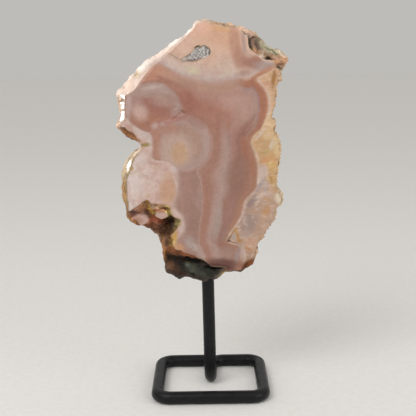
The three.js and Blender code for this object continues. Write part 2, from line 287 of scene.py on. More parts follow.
class Wiring:
    """Adds shader nodes to one node tree and joins them up."""

    def __init__(self, tree):
        self.tree = tree

    def add(self, kind, **settings):
        node = self.tree.nodes.new("ShaderNode" + kind)
        for name, value in settings.items():
            setattr(node, name, value)
        return node

    def join(self, value, socket):
        """Links a socket, or writes a number, a vector, a colour or a colour's sRGB code."""
        if isinstance(value, str):
            value = paint(value)
        if isinstance(value, bpy.types.NodeSocket):
            self.tree.links.new(value, socket)
        elif socket.type == "RGBA":
            socket.default_value = (*value[:3], 1)
        else:
            socket.default_value = value

    def put(self, kind, values, want=0, **settings):
        """Adds a node, fills its inputs in order and gives back one of its outputs."""
        node = self.add(kind, **settings)
        for value, socket in zip(values, node.inputs):
            self.join(value, socket)
        return node.outputs[want]

    def math(self, operation, *values):
        return self.put("Math", values, operation=operation)

    def times(self, *factors):
        """The product of numbers, taken from left to right."""
        product = factors[0]
        for factor in factors[1:]:
            product = self.math("MULTIPLY", product, factor)
        return product

    def minus(self, a, b):
        return self.math("SUBTRACT", a, b)

    def vector(self, operation, *values):
        number = operation in ("LENGTH", "DISTANCE", "DOT_PRODUCT")
        return self.put("VectorMath", values, "Value" if number else "Vector", operation=operation)

    def scaled(self, value, factor):
        node = self.add("VectorMath", operation="SCALE")
        self.join(value, node.inputs[0])
        self.join(factor, node.inputs["Scale"])
        return node.outputs["Vector"]

    def range(self, value, low, high, to_low=0.0, to_high=1.0, kind="SMOOTHSTEP"):
        """The value's share of the way from low to high, kept between the two results."""
        # a smooth range keeps between its ends by itself, so only a linear one is clamped
        settings = {"interpolation_type": kind, "clamp": kind == "LINEAR"}
        return self.put("MapRange", (value, low, high, to_low, to_high), **settings)

    def mix(self, share, a, b, kind="MIX"):
        node = self.add("Mix", data_type="RGBA", blend_type=kind)
        self.join(share, node.inputs[0])
        self.join(a, node.inputs[6])
        self.join(b, node.inputs[7])
        return node.outputs[2]

    def lerp(self, share, a, b):
        node = self.add("Mix", data_type="FLOAT")
        self.join(share, node.inputs[0])
        self.join(a, node.inputs[2])
        self.join(b, node.inputs[3])
        return node.outputs[0]

    def vector_of(self, x, y, z):
        return self.put("CombineXYZ", (x, y, z))

    def parts(self, vector):
        node = self.add("SeparateXYZ")
        self.join(vector, node.inputs[0])
        return node.outputs

    def channels(self, colour):
        node = self.add("SeparateColor")
        self.join(colour, node.inputs[0])
        return node.outputs

    def shaded(self, colour, value):
        """The colour made brighter or darker by a factor."""
        grey = self.add("CombineColor")
        for socket in grey.inputs:
            self.join(value, socket)
        return self.mix(1.0, colour, grey.outputs[0], "MULTIPLY")

    def pushed(self, place, scale, reach, detail=2.0, roughness=0.5):
        """The place moved about by noise, by up to half the reach each way."""
        red, green, blue = self.channels(self.noise(place, scale, detail, roughness, "Color"))
        push = self.vector("SUBTRACT", self.vector_of(red, green, blue), (0.5, 0.5, 0.5))
        return self.vector("ADD", place, self.scaled(push, reach))

    def noise(self, place, scale, detail=2.0, roughness=0.5, want="Fac"):
        node = self.add("TexNoise")
        self.join(place, node.inputs["Vector"])
        node.inputs["Scale"].default_value = scale
        node.inputs["Detail"].default_value = detail
        node.inputs["Roughness"].default_value = roughness
        return node.outputs[want]

    def line_noise(self, value, scale, detail=2.0):
        """Noise along one number, for bands that follow a field."""
        node = self.add("TexNoise", noise_dimensions="1D")
        self.join(value, node.inputs["W"])
        node.inputs["Scale"].default_value = scale
        node.inputs["Detail"].default_value = detail
        return node.outputs["Fac"]

    def cells(self, place, scale):
        """A field of cells, each with a colour of its own."""
        node = self.add("TexVoronoi")
        self.join(place, node.inputs["Vector"])
        node.inputs["Scale"].default_value = scale
        return node.outputs["Color"]

    def ramp(self, value, *stops):
        """Colours laid along a number, each as (number, sRGB code)."""
        low, high = stops[0][0], stops[-1][0]
        node = self.add("ValToRGB")
        self.join(self.range(value, low, high, kind="LINEAR"), node.inputs[0])
        elements = node.color_ramp.elements
        for at, code in stops[1:-1]:
            elements.new((at - low) / (high - low))
        for element, (_, code) in zip(elements, stops):
            element.color = (*paint(code), 1)
        return node.outputs[0]

    def curve(self, value, points):
        """A smooth line through points, each as (number, result)."""
        low, high = points[0][0], points[-1][0]
        least = min(result for _, result in points)
        most = max(result for _, result in points)
        node = self.add("FloatCurve")
        line = node.mapping.curves[0].points
        while len(line) < len(points):
            line.new(0.5, 0.5)
        for knot, (at, result) in zip(line, points):
            knot.location = ((at - low) / (high - low), (result - least) / (most - least))
        node.mapping.update()
        self.join(self.range(value, low, high, kind="LINEAR"), node.inputs["Value"])
        return self.math("MULTIPLY_ADD", node.outputs[0], most - least, least)

    def group(self, tree, **values):
        node = self.add("Group", node_tree=tree)
        for name, value in values.items():
            self.join(value, node.inputs[name.replace("_", " ").title()])
        return node.outputs


def new_group(name, inputs, outputs):
    """An empty node group with named sockets, and the wiring to fill it."""
    tree = bpy.data.node_groups.new(name, "ShaderNodeTree")
    for socket, kind in inputs.items():
        tree.interface.new_socket(name=socket, in_out="INPUT", socket_type="NodeSocket" + kind)
    for socket, kind in outputs.items():
        tree.interface.new_socket(name=socket, in_out="OUTPUT", socket_type="NodeSocket" + kind)
    w = Wiring(tree)
    start = tree.nodes.new("NodeGroupInput").outputs
    end = tree.nodes.new("NodeGroupOutput").inputs
    return w, start, end


def new_material(name):
    """A material with a bare Principled shader, its wiring, its shader and its place in millimetres."""
    material = bpy.data.materials.new(name)
    material.use_nodes = True
    material.node_tree.nodes.clear()
    w = Wiring(material.node_tree)
    shader = w.add("BsdfPrincipled")
    w.join(shader.outputs[0], w.add("OutputMaterial").inputs["Surface"])
    place = w.scaled(w.add("TexCoord").outputs["Object"], 1 / MM)
    return material, w, shader, place


def bump(w, height, distance, strength=1.0):
    node = w.add("Bump")
    node.inputs["Strength"].default_value = strength
    node.inputs["Distance"].default_value = distance
    w.join(height, node.inputs["Height"])
    return node.outputs["Normal"]


def make_grain_group():
    """Fine speckle and broad blotches, both about 0.5, for any stony or painted surface."""
    inputs = {"Place": "Vector", "Size": "Float"}
    w, start, end = new_group("Speckle", inputs, {"Fine": "Float", "Broad": "Float"})
    shrunk = w.vector("DIVIDE", start["Place"], w.vector_of(start["Size"], start["Size"], start["Size"]))
    w.join(w.noise(shrunk, 1.0, 3, 0.6), end["Fine"])
    w.join(w.noise(shrunk, 0.12, 3, 0.55), end["Broad"])
    return w.tree


# ---- The stone's growth bands, in millimetres seen from the front ----

# Where the banded heart ends at the right: height, x
RIGHT_LINE = (
    (62, 18), (66, 19), (69, 19.8), (72, 20.2), (75, 19.5), (77, 17.5), (79, 12.5), (80, 12), (82, 12.5),
    (85, 14.2), (90, 17.1), (95, 19.4), (100.5, 21.4), (104, 25), (107, 26.8), (112, 27.3), (117, 27.5),
    (122, 26.5), (126, 25.2), (130, 24.3), (132, 24.8), (135, 27.3), (138, 30), (142, 31.7), (147, 32.6),
    (151, 32.5), (155, 31), (158, 28.6), (160, 27.5), (162, 30), (164, 34), (166, 37),
)  # fmt: skip
# Where it ends at the top: x, height
TOP_ARC = (
    (-40, 175), (-30, 172), (-25, 170.5), (-22, 169.5), (-19, 168), (-15, 165.5), (-10, 163.5), (-5, 162),
    (0, 161), (5, 160), (10, 160), (15, 161), (19, 161), (22, 160), (25, 161.5), (28, 163.5), (33, 165.5),
    (37, 167),
)  # fmt: skip
# Where the lower lobe ends at the right: height, x
LOBE_LINE = (
    (60, 2), (70, 0), (75, -1.5), (80, -2.5), (85, -2.3), (90, -1.8), (95, -1), (101, -0.5), (106, -0.3),
    (110, -1.2), (113.5, -2.8), (116, -3), (122, -12), (134, -15), (140, -60),
)  # fmt: skip
# Where the pale zone at the left ends: height, x
PALE_LINE = (
    (66, -15), (76, -14), (80, -14), (85, -10), (92, -10), (98, -14.5), (105, -13), (113, -12.2),
    (117, -12.7), (118.9, -15.5), (120.6, -18.5), (121.4, -22), (122, -24.9), (128, -24.8), (133.5, -25),
    (136, -29), (138.5, -33), (142, -37), (150, -50),
)  # fmt: skip
UPPER_EYE = (-24.5, 0, 145.5)
UPPER_EYE_RADIUS = 14.5
LOWER_EYE = (-9.5, 0, 129)
LOWER_EYE_RADIUS = 14

# Patches on the polished face, in the order they are laid. Each is x, height, half width, half height,
# turn in degrees, softness and share in percent, and colour.
HEART_PATCHES = (
    # the red middle, and the darker streaks before the cusp
    (1, 148.5, 8, 5, 0, 70, 50, "9E6D5E"),
    (-6, 150, 3.8, 6.5, 0, 80, 55, "945F52"),
    (8, 137, 1.2, 7, 3, 60, 35, "9C6C5D"),
    (13, 139, 1, 5, 0, 60, 50, "A06E5E"),
    (20.5, 136, 1.6, 5, -35, 60, 60, "93685A"),
    (24, 139.5, 1, 5, -38, 60, 50, "8F6A5F"),
    (21.3, 127, 1.6, 5, 8, 70, 80, "9C6552"),
    (23, 135.5, 0.5, 4.5, -42, 70, 60, "87604F"),
    (19.5, 133.5, 0.5, 4.5, -30, 70, 50, "8A6150"),
    (25.8, 138, 0.6, 4.5, -40, 70, 30, "A98578"),
    (24.6, 118, 1.2, 5, 5, 60, 60, "A06C52"),
    (17, 112, 4, 10, -5, 60, 70, "8A675B"),
    # grey streak and red foot of the heart
    (7.3, 90, 1.8, 10, -10, 60, 75, "A28F86"),
    (13.5, 95, 2.2, 8, -18, 70, 60, "967169"),
    (10.4, 83.5, 1.5, 4, -20, 70, 60, "8D706A"),
    (15.5, 129, 1.3, 6, 0, 80, 50, "A57A70"),
    (1.2, 96, 1.8, 16, 0, 60, 50, "9D6F5E"),
    # tan shoulder between the arc and the upper eye
    (-24, 163.5, 8, 3.2, 25, 50, 85, "B98670"),
    (-15, 163, 5, 2.5, -20, 60, 60, "B88C78"),
    (-15.5, 159.6, 7, 1.1, -24, 80, 60, "99695A"),
)
UPPER_EYE_PATCHES = (
    # the crescent, the red heart and the light spot
    (-23, 154, 10, 4.5, 6, 50, 75, "A9928A"),
    (-24, 157.2, 4.5, 0.9, 8, 70, 60, "BEA8A0"),
    (-16.5, 154.5, 3.5, 0.9, -28, 70, 50, "B8A098"),
    (-14.5, 149.5, 4, 6, 20, 60, 70, "9F8076"),
    (-25.5, 145.5, 10.5, 7, 12, 40, 85, "98695D"),
    (-26.5, 141, 9, 4.5, -12, 50, 80, "A3735F"),
    (-19.5, 150.5, 4.5, 2.6, -15, 70, 70, "AB8D81"),
    (-28, 151.5, 4.5, 0.8, -8, 80, 50, "97695C"),
    (-33, 150, 3, 4.5, -35, 50, 60, "A98A82"),
    (-30.3, 145, 3.6, 4, 30, 60, 90, "BFA095"),
    (-36, 148, 1.4, 6, 0, 60, 70, "BDA29B"),
)
LOWER_EYE_PATCHES = (
    # red at its left and above, then the pale disc and the tan heart
    (-17, 137, 6, 4, -20, 50, 80, "A67B6C"),
    (-22.6, 129, 2.9, 9.5, 0, 35, 95, "A77B6A"),
    (-4, 140.5, 7, 2.2, -28, 60, 60, "9A7467"),
    (1.8, 129, 1.1, 9, 0, 60, 50, "B0958B"),
    (-12.7, 126, 8.2, 8.3, 0, 35, 90, "B69B8E"),
    (-11.5, 124.5, 4, 5.2, 0, 45, 90, "BA9678"),
    # the rough seam between the two eyes
    (-12.5, 141.7, 4.5, 1.5, 12, 70, 80, "A27064"),
    (-16.5, 140.8, 2.5, 0.3, 5, 90, 40, "BB978D"),
    (-10.8, 146.8, 1.6, 3.6, 25, 80, 60, "A0857D"),
    (-11.7, 148.4, 1.3, 0.45, -20, 90, 25, "BFAAA3"),
    (-12.4, 146.4, 1.1, 0.45, 40, 90, 30, "BFAAA3"),
    (-10.2, 143.2, 1.2, 0.45, 20, 90, 25, "BFA79F"),
    (-8.8, 144.8, 1.3, 0.6, -10, 80, 70, "80523F"),
    (-11, 144.2, 0.6, 0.5, 30, 80, 50, "80523F"),
    (-9.9, 145.3, 0.8, 0.3, 0, 70, 70, "6E4A3E"),
    (-13, 142.6, 1.6, 0.3, 35, 80, 60, "8C584A"),
    (-23.2, 138, 1.5, 1.4, 0, 90, 70, "C0A8A3"),
    (-19.4, 139, 1.4, 0.9, 15, 80, 70, "B39A93"),
    # the lobe below it is redder low down
    (-6, 89, 3.5, 7, 0, 70, 50, "8C6A5F"),
)
PALE_PATCHES = (
    (-17.5, 105.5, 4.2, 6.5, 0, 30, 80, "BD9376"),
    (-17, 113, 2.6, 2, 0, 50, 60, "C09E86"),
    (-22, 118, 2.2, 1.3, 20, 50, 50, "B79883"),
    (-34.3, 115.5, 1.6, 0.8, 20, 50, 60, "B9A07E"),
    (-27.5, 103.5, 1.6, 1.2, 0, 50, 50, "C09A7C"),
    (-35.2, 106.5, 0.7, 2.2, 10, 70, 50, "D9CCC7"),
    (-33, 109, 4, 6, 0, 60, 70, "D2C1BA"),
    (-31, 122, 3.5, 4, 40, 60, 70, "CDBDB7"),
    (-13, 116.5, 3.5, 1.4, -10, 50, 80, "C3B0AA"),
    (-30, 134.5, 5, 1.8, -38, 50, 80, "C3B2AB"),
    (-25.5, 129.5, 1.6, 3, 0, 50, 70, "C6B6AE"),
    (-27.9, 128.9, 2.2, 1, 6, 70, 95, "94804A"),
    (-29.6, 128.7, 1, 0.3, 10, 40, 60, "4E4330"),
    (-35.3, 117.3, 1.3, 1, 20, 40, 80, "B08C50"),
    (-33, 91, 4, 2.6, -5, 60, 90, "A67A66"),
    (-30.2, 92.6, 2, 1.4, -10, 60, 70, "BC9C90"),
    (-21.3, 93.3, 4, 1.8, 4, 60, 80, "BA9A8E"),
)
RIGHT_PATCHES = (
    (31.5, 157.5, 3, 2.2, 20, 50, 90, "C6997F"),
    (35.4, 160, 1.1, 4.4, -8, 60, 85, "986A38"),
    (34, 147, 1.6, 6, 0, 50, 70, "CDA583"),
    (30, 127, 6, 7, 0, 40, 85, "BB966F"),
    (32.5, 132.5, 2.6, 2.2, 20, 50, 60, "CDB189"),
    (36.5, 127, 1.5, 5, 0, 50, 60, "D3BC93"),
    (34, 120, 2.4, 4, 0, 50, 70, "C69766"),
    (34.2, 127.8, 0.8, 2.6, -14, 90, 70, "CFC4B2"),
    (31.8, 124.8, 1.8, 1.3, 20, 80, 60, "B0965C"),
    (31.5, 120.4, 3.2, 0.7, 6, 90, 80, "C68A62"),
    (34.4, 117.6, 1.8, 2, 0, 80, 60, "C9B070"),
    (28.8, 133.4, 0.6, 4.2, -42, 90, 60, "CDBDB4"),
    (29.8, 115, 2.6, 3, 0, 50, 85, "BFA8A0"),
    (35.6, 111.8, 2.6, 7.5, 6, 70, 80, "C0985F"),
    (33.9, 111, 0.8, 2, 12, 90, 70, "A8773A"),
    (32.2, 111, 1.1, 1.6, 0, 80, 60, "C0A06E"),
    (28.6, 107.5, 1.1, 4.6, -32, 50, 85, "A09190"),
    (27.4, 109.5, 0.5, 3.4, -28, 70, 60, "C9B9B3"),
    (31.3, 106.5, 0.8, 3, -15, 50, 70, "AEA09B"),
    (24.5, 99.5, 1.5, 4, -42, 60, 80, "857170"),
    (29, 102.5, 3.4, 1.1, 25, 50, 60, "C9B4A8"),
    (23.2, 89, 3.8, 6.2, -18, 60, 85, "957F79"),
    (25, 94.6, 1.8, 1, 20, 70, 50, "BB8F6A"),
    (27, 95, 2, 4, -20, 60, 60, "B49383"),
    (31.5, 95, 1.8, 3, -30, 60, 70, "BB895A"),
    (29, 98, 3, 2.5, 0, 60, 50, "A98A74"),
    (29, 88, 2, 3, -25, 70, 60, "B2907A"),
    (32, 101, 2.4, 0.7, -30, 70, 60, "B98F66"),
    (27.5, 99.5, 0.6, 3.2, -35, 80, 50, "C4AEA2"),
    (24, 78, 3.6, 4, 0, 50, 80, "BB937D"),
    (21.5, 83, 3, 2, 0, 50, 60, "A9948A"),
    (38, 101.3, 2.2, 2.6, 0, 50, 90, "D2C3AC"),
)
TOP_PATCHES = (
    (-4, 165, 3.5, 1.8, -15, 60, 70, "C8BB9E"),
    (8, 163.6, 4.5, 1.2, 0, 60, 60, "BFA39A"),
    (14, 168, 7, 4, 0, 60, 50, "C4A99C"),
    (-13, 168.5, 5, 1.6, -30, 50, 60, "CDB5AB"),
    (10, 181, 9, 5, -12, 60, 60, "C99E82"),
    (9, 184.8, 7, 1.5, -12, 50, 60, "D0A274"),
    (2, 186, 5, 3, 30, 50, 60, "DEB19E"),
    (16.8, 177, 2.6, 9, 4, 50, 75, "B48673"),
    (19.5, 170, 3, 6, 12, 50, 75, "AD8270"),
    (25, 168, 5, 2.7, -15, 60, 90, "9C6F61"),
    (27.5, 169.6, 3, 1.5, -32, 60, 80, "9A6A58"),
    (20.9, 178, 1, 5.5, 8, 60, 85, "A99089"),
    (22.8, 172.8, 1.1, 2.6, 45, 50, 50, "B59A90"),
    (31, 166.8, 5, 1.9, -8, 60, 80, "A8928B"),
    (31.6, 163.6, 5, 1.8, 30, 70, 90, "976D64"),
    (21.5, 163.3, 4.4, 1.4, 8, 60, 70, "A8877B"),
    (-13, 171.8, 3.6, 0.22, -32, 40, 70, "8E7060"),
)
EDGE_PATCHES = (
    # the shoulder fades into the face
    (-26.5, 164, 9, 1, 50, 90, 50, "D6B8A8"),
    (-31.5, 158.6, 6, 0.5, 42, 80, 60, "B98274"),
    # the foot
    (-7, 79, 2.4, 3.4, 25, 80, 75, "AB9B94"),
    (-4.6, 76.4, 1.6, 1.8, 30, 80, 60, "B3A39B"),
    (-6, 76, 1.2, 0.35, 50, 80, 50, "927066"),
    (-8.6, 81.6, 1, 0.4, -20, 80, 50, "977468"),
    (-9.4, 77.6, 0.5, 2.2, 35, 80, 50, "9C8076"),
    (-3.4, 80, 0.5, 2.6, -15, 80, 45, "98796E"),
    (-1.5, 73.5, 1.6, 4, 30, 70, 50, "B09A90"),
    (12, 73, 3.5, 3.5, 0, 60, 80, "9E7F73"),
    (16.8, 72, 1.3, 4.5, -12, 60, 90, "9A847F"),
    (19.4, 74, 1.1, 4, -8, 50, 80, "B39C90"),
    (22.5, 75.5, 2, 0.7, -20, 50, 70, "B27E4E"),
    (9, 68.2, 8, 2.3, -5, 60, 90, "5F372E"),
    (7, 66.3, 8, 1.6, -8, 50, 95, "46241E"),
    (22, 67.5, 3.8, 1.9, 28, 60, 95, "71391A"),
    (-15, 80.5, 1.5, 5, -10, 50, 90, "BE9548"),
    (-15.5, 78.8, 0.8, 1.6, -10, 60, 80, "DCC38C"),
    (-12.6, 77, 3, 1.7, -22, 70, 75, "C08E68"),
    # the second knob's worn top
    (-21.4, 97, 5, 2.3, 0, 35, 90, "A5715A"),
    # the crack and its ochre edges
    (13.9, 82.8, 0.45, 3.3, -32, 70, 80, "96693A"),
    (15.9, 85.4, 1.1, 1, 0, 70, 80, "B48A50"),
    (17.2, 82.2, 0.6, 3.2, 16, 80, 80, "AE7F3A"),
    (18.3, 79.8, 1, 0.6, -20, 70, 70, "AE7F3A"),
    (15, 81.8, 1, 1.6, 0, 50, 70, "A0928F"),
    (12.7, 80.8, 0.35, 1.7, -28, 60, 80, "6A4526"),
    (12.7, 79.7, 0.9, 0.5, 0, 60, 90, "4A2F1A"),
    (15, 78.9, 2.3, 0.25, -16, 60, 70, "745644"),
)

# Patches where the stone is broken or rough, in the same form. Some of them paint light or shade, as noted
# at each.
BROKEN_PATCHES = (
    # the hollow at the left
    (-23, 92, 16, 9, -15, 20, 100, "7C5238"),
    # painted light: the upper wall of the hollow, which the face's overhang shades, is painted much lighter
    # to make up for it
    (-22.5, 97.2, 6.5, 2.6, -8, 50, 95, "FAD4B4"),
    (-21.5, 97.6, 5, 0.8, -10, 60, 90, "FFDCAC"),
    (-24.5, 95.4, 2.5, 0.6, 20, 60, 90, "BA7350"),
    (-32, 97, 3.4, 2.6, 15, 40, 90, "A87656"),
    (-31, 98.6, 2.4, 0.5, 30, 60, 70, "C89E73"),
    (-35.2, 94.5, 1.8, 0.45, -5, 50, 90, "5A424A"),
    (-33.6, 96.4, 1.5, 1.3, 30, 70, 60, "C6A08C"),
    (-28.2, 96.8, 0.7, 1.6, 20, 70, 80, "7A4F38"),
    (-31.5, 95.6, 1.6, 0.4, 25, 70, 80, "80573F"),
    (-28.5, 100.4, 1.4, 1, 0, 50, 90, "C5974F"),
    (-26.8, 96, 1.1, 3.4, 25, 50, 90, "E7B656"),
    (-25.4, 93.5, 0.9, 0.8, 0, 50, 90, "CDBC66"),
    # painted light: this ochre is painted lighter to make up for the overhang's shade
    (-17.4, 95.2, 1.5, 3.8, 12, 50, 95, "FFEA9C"),
    (-21.3, 95.7, 3.6, 1, 0, 60, 85, "A0664A"),
    (-24.5, 89.8, 4.5, 2.2, -12, 60, 95, "A8593B"),
    (-28.3, 91, 1, 1.6, 20, 60, 80, "D08E72"),
    (-24, 87.6, 4.5, 2, -20, 60, 95, "905C44"),
    (-27.4, 88.4, 1.2, 0.8, -20, 70, 80, "B87850"),
    (-21.5, 91.6, 3, 0.5, -10, 60, 90, "C36C4B"),
    # painted shade: the broken stone painted near black where its hollows are deepest
    (-20, 85.4, 4, 2.8, -35, 60, 95, "38200F"),
    (-16.6, 88.2, 2, 3.8, 20, 60, 95, "1D140F"),
    (-19.3, 90, 1.3, 0.7, 20, 60, 80, "2A1810"),
    (-15.6, 87, 0.8, 1.6, 10, 70, 60, "6A5048"),
    (-12.9, 88.8, 1.7, 4.2, -12, 50, 95, "B5A46C"),
    (-13.6, 91.2, 0.7, 0.8, 0, 70, 80, "6E5A34"),
    (-14, 86.4, 0.6, 1, 20, 70, 80, "5F4C2C"),
    (-12, 88, 0.5, 2.4, -10, 80, 70, "D2C092"),
    (-32, 91.5, 4.4, 3, -5, 25, 95, "A5796A"),
    (-30.8, 92.8, 2.8, 1.4, -5, 50, 90, "B89A90"),
    (-35, 90.3, 3, 0.9, -32, 40, 90, "B07A45"),
    (-21.3, 93.2, 3.2, 1.5, 6, 25, 95, "BC9A8E"),
    # the neck and the foot
    (-8, 69, 15, 8, -12, 20, 100, "3E281A"),
    (-19, 79, 4, 8, 8, 40, 95, "553014"),
    (-16.2, 79, 1.2, 5, -8, 60, 85, "A07A3A"),
    (-20.4, 75, 0.8, 7, 4, 50, 90, "8A5826"),
    (-12.5, 74, 7, 2.3, -20, 50, 95, "985C3A"),
    (-8, 73.6, 6, 0.7, -24, 50, 90, "A86A48"),
    (-14.5, 70.2, 4.5, 2, 0, 60, 90, "2A1E16"),
    (-15, 65.5, 6, 4, 0, 50, 95, "301D10"),
    (-17, 66.8, 2, 1.8, -15, 70, 90, "70441F"),
    (-14, 64.6, 2.6, 1.8, 0, 70, 60, "42260F"),
    (-11.5, 66.6, 1, 3, 10, 60, 90, "100C09"),
    (-3, 64.5, 8, 4.5, -12, 30, 95, "282A21"),
    (-6.5, 65.2, 3.4, 2.6, -20, 80, 70, "444638"),
    (-8.6, 67.4, 1.2, 0.8, -20, 80, 70, "5C6152"),
    (-5.2, 63, 1.6, 0.6, -35, 80, 60, "565B4C"),
    (-3.4, 66.2, 1.3, 0.5, 30, 80, 50, "1C1C15"),
    (-1, 62.2, 4, 1.4, -12, 80, 70, "383A2E"),
    (0, 67.2, 3, 1.2, -20, 70, 80, "382820"),
    # painted shadow: a near-black line under the face's overhang, over the undercut
    (-6, 70.2, 7, 0.8, -8, 50, 98, "070504"),
    (1.5, 68, 2.6, 0.7, -30, 50, 95, "0C0806"),
    (6.5, 65, 4, 0.9, 5, 40, 95, "0C0907"),
    (5.5, 62.8, 3.6, 1.6, 20, 50, 90, "1C1A14"),
    (8.8, 61.8, 3, 0.25, 42, 50, 90, "B8984E"),
    (22.3, 67.5, 4.3, 2, 30, 50, 90, "7E431C"),
    # the top right corner
    (23.5, 182.4, 4.5, 1.5, -32, 50, 90, "D4AF9A"),
    (21.2, 182.6, 1.6, 0.35, -50, 60, 80, "4E4A26"),
    (26.8, 177, 3.8, 4, -30, 40, 95, "8C6E5E"),
    (29.4, 176.2, 1.2, 2.4, 30, 70, 70, "6E6048"),
    (26.2, 175.6, 0.9, 0.5, -30, 70, 70, "B49480"),
    (28.3, 179, 3.6, 0.6, -50, 50, 90, "9C8A68"),
    (25.3, 180.2, 1.8, 0.35, 10, 60, 85, "4A3020"),
    (27.2, 176.2, 0.5, 2.2, 35, 70, 70, "54423A"),
    (25.6, 178.2, 1.1, 0.4, -60, 70, 60, "A88C7A"),
    (23.8, 177.4, 0.7, 3.8, 8, 60, 95, "2E2C10"),
    (27.6, 177.8, 0.9, 2.6, -30, 70, 70, "4A3A2C"),
    (25.9, 173.9, 3, 0.6, -40, 40, 95, "3A3410"),
    (27.2, 173.6, 2.4, 0.8, -30, 50, 90, "D09C74"),
    (34, 174.5, 6, 2, -32, 40, 95, "B8AF94"),
    (32.2, 174.6, 0.9, 1.4, 30, 70, 70, "7C7458"),
    (35, 173.4, 5, 0.4, -32, 50, 80, "5D5A40"),
    (33, 176.3, 5, 0.35, -36, 50, 70, "C2BA9E"),
    # painted shade: the narrow slot at the corner painted near black
    (31.8, 169.9, 2.8, 0.4, 0, 50, 95, "2E2810"),
    (38.8, 168.8, 4, 2.6, -20, 40, 90, "BF8E6A"),
    (36.5, 170.6, 3, 0.6, -20, 40, 80, "D6B094"),
    (37.6, 165.6, 1.8, 0.4, -25, 60, 80, "54372A"),
    (39.4, 165, 1, 0.4, 30, 60, 70, "5E4030"),
)
# The pocket's brown upper edge and milky middle
DRUZE_PATCHES = (
    (-2.2, 176.6, 2.4, 0.9, 5, 60, 85, "9A7F55"),
    (3.6, 175.6, 1.6, 0.7, -30, 50, 70, "8F7B5C"),
    (-8.3, 170.2, 1.8, 1, 20, 50, 90, "FFFCF8"),
    (2.5, 173, 2.5, 2, 0, 60, 50, "C4BFBC"),
    (-3, 169.9, 6, 0.5, 5, 70, 70, "A5847A"),
    (3, 171, 2.4, 0.4, 40, 70, 70, "A5847A"),
)
# The crust round the edge
CRUST_PATCHES = (
    (-24, 170, 30, 8, 38, 35, 100, "E6CFC1"),
    (-37, 158, 4, 4, 0, 60, 70, "E6C8B6"),
    (-31.5, 163.5, 2, 1, 60, 70, 70, "D2BA88"),
    (-27, 167.5, 4.5, 1.6, 38, 70, 80, "F4EAE0"),
    (-8, 181.5, 9, 3, 35, 60, 95, "FFF0E6"),
    (-37, 134, 8, 4.5, -30, 40, 95, "8C5A30"),
    (-38.5, 133, 6, 0.8, -36, 60, 90, "4A2F1A"),
    (-41, 108, 4.5, 12, 0, 40, 95, "967142"),
    # pale crust, painted whitish in part as a painted highlight where the left bevel shines
    (-40.5, 146, 4, 8, 0, 40, 90, "EAD6CC"),
    (-41.4, 146, 1.3, 7, 0, 50, 85, "B98A5A"),
    (-39, 150.9, 3, 0.4, 20, 60, 80, "AE7A55"),
    (-39, 146.3, 3, 0.35, 5, 60, 80, "B08868"),
    (-37.5, 119, 3.5, 7, -20, 40, 90, "C2AC8E"),
    (-38, 93, 4, 7, 25, 40, 80, "9A7650"),
    (39, 150, 5, 16, 0, 80, 80, "CCA67C"),
    (39, 122, 5, 16, 0, 80, 80, "CDAA7E"),
    (40, 100, 5, 7, 0, 80, 90, "CDB79B"),
    (30, 82, 6, 12, -35, 50, 80, "B89478"),
    (20, 62, 12, 8, 0, 40, 90, "5A3A26"),
    (-6, 58, 16, 8, 0, 40, 95, "2F2D26"),
    (12, 189, 16, 4, -15, 40, 80, "D9B292"),
)

# The thread of stain along the face's left edge, in the same form without a colour
STAINED_EDGE = (-37, 113, 6, 17, 0, 20, 80)
# The chalky shoulder, in the same form without share and colour
SHOULDER = (-24, 169, 26, 8, 40, 30)
# Crust that nature left smooth and shiny, in the shoulder's form
SMOOTH_CRUST = (
    (-37.2, 153, 2.8, 1.8, -35, 20), (-38.5, 148.5, 2.8, 1.7, 5, 15), (-38.8, 143, 2.8, 2.9, 0, 15),
    (-36.7, 118.8, 0.9, 3.2, -22, 30),
)  # fmt: skip
# Deep hollows in the broken stone, in the shoulder's form
HOLLOWS = (
    (-17, 88.5, 3, 4.4, 10, 60), (-24, 86.5, 3, 1.6, -20, 60), (-10, 70, 9, 1.3, -7, 50),
    (5, 66, 4.5, 1.2, 0, 50), (31.5, 170.2, 2.8, 0.4, 0, 60),
)  # fmt: skip
HOLLOW_DEPTH = 2.8 * MM
# Places where the face has broken away behind its own plane, in the shoulder's form
WORN_FACE = (
    (-36.5, 134.3, 7, 1.5, -36, 20), (-18.3, 78, 2.6, 8, 8, 20), (23.4, 67.6, 4.5, 1.5, 30, 20),
    (-9, 72.6, 8, 1, -22, 20), (-35, 90, 3.6, 1, -32, 20),
)  # fmt: skip
WORN_DEPTH = 1.4 * MM


def patch_mask(w, place, x, z, half_width, half_height, turn, softness, share=100):
    """A soft ellipse seen from the front, turned counter-clockwise: its share inside, 0 outside."""
    if turn:
        angle = math.radians(turn)
        long_way = Vector((math.cos(angle), 0, math.sin(angle))) / half_width
        short_way = Vector((-math.sin(angle), 0, math.cos(angle))) / half_height
        along = w.vector("DOT_PRODUCT", place, long_way)
        across = w.vector("DOT_PRODUCT", place, short_way)
        middle = Vector((x, 0, z))
        middle = (middle @ long_way, 0, middle @ short_way)
        away = w.vector("DISTANCE", w.vector_of(along, 0, across), middle)
    else:
        widths = (1 / half_width, 0, 1 / half_height)
        middle = (-x / half_width, 0, -z / half_height)
        away = w.vector("LENGTH", w.vector("MULTIPLY_ADD", place, widths, middle))
    edge = softness / 100
    return w.range(away, 1 + edge, 1 - edge, 0, share / 100)


def lay_patches(w, place, colour, patches):
    """Paints soft patches over a colour, one after another."""
    for *shape, code in patches:
        colour = w.mix(patch_mask(w, place, *shape), colour, code)
    return colour


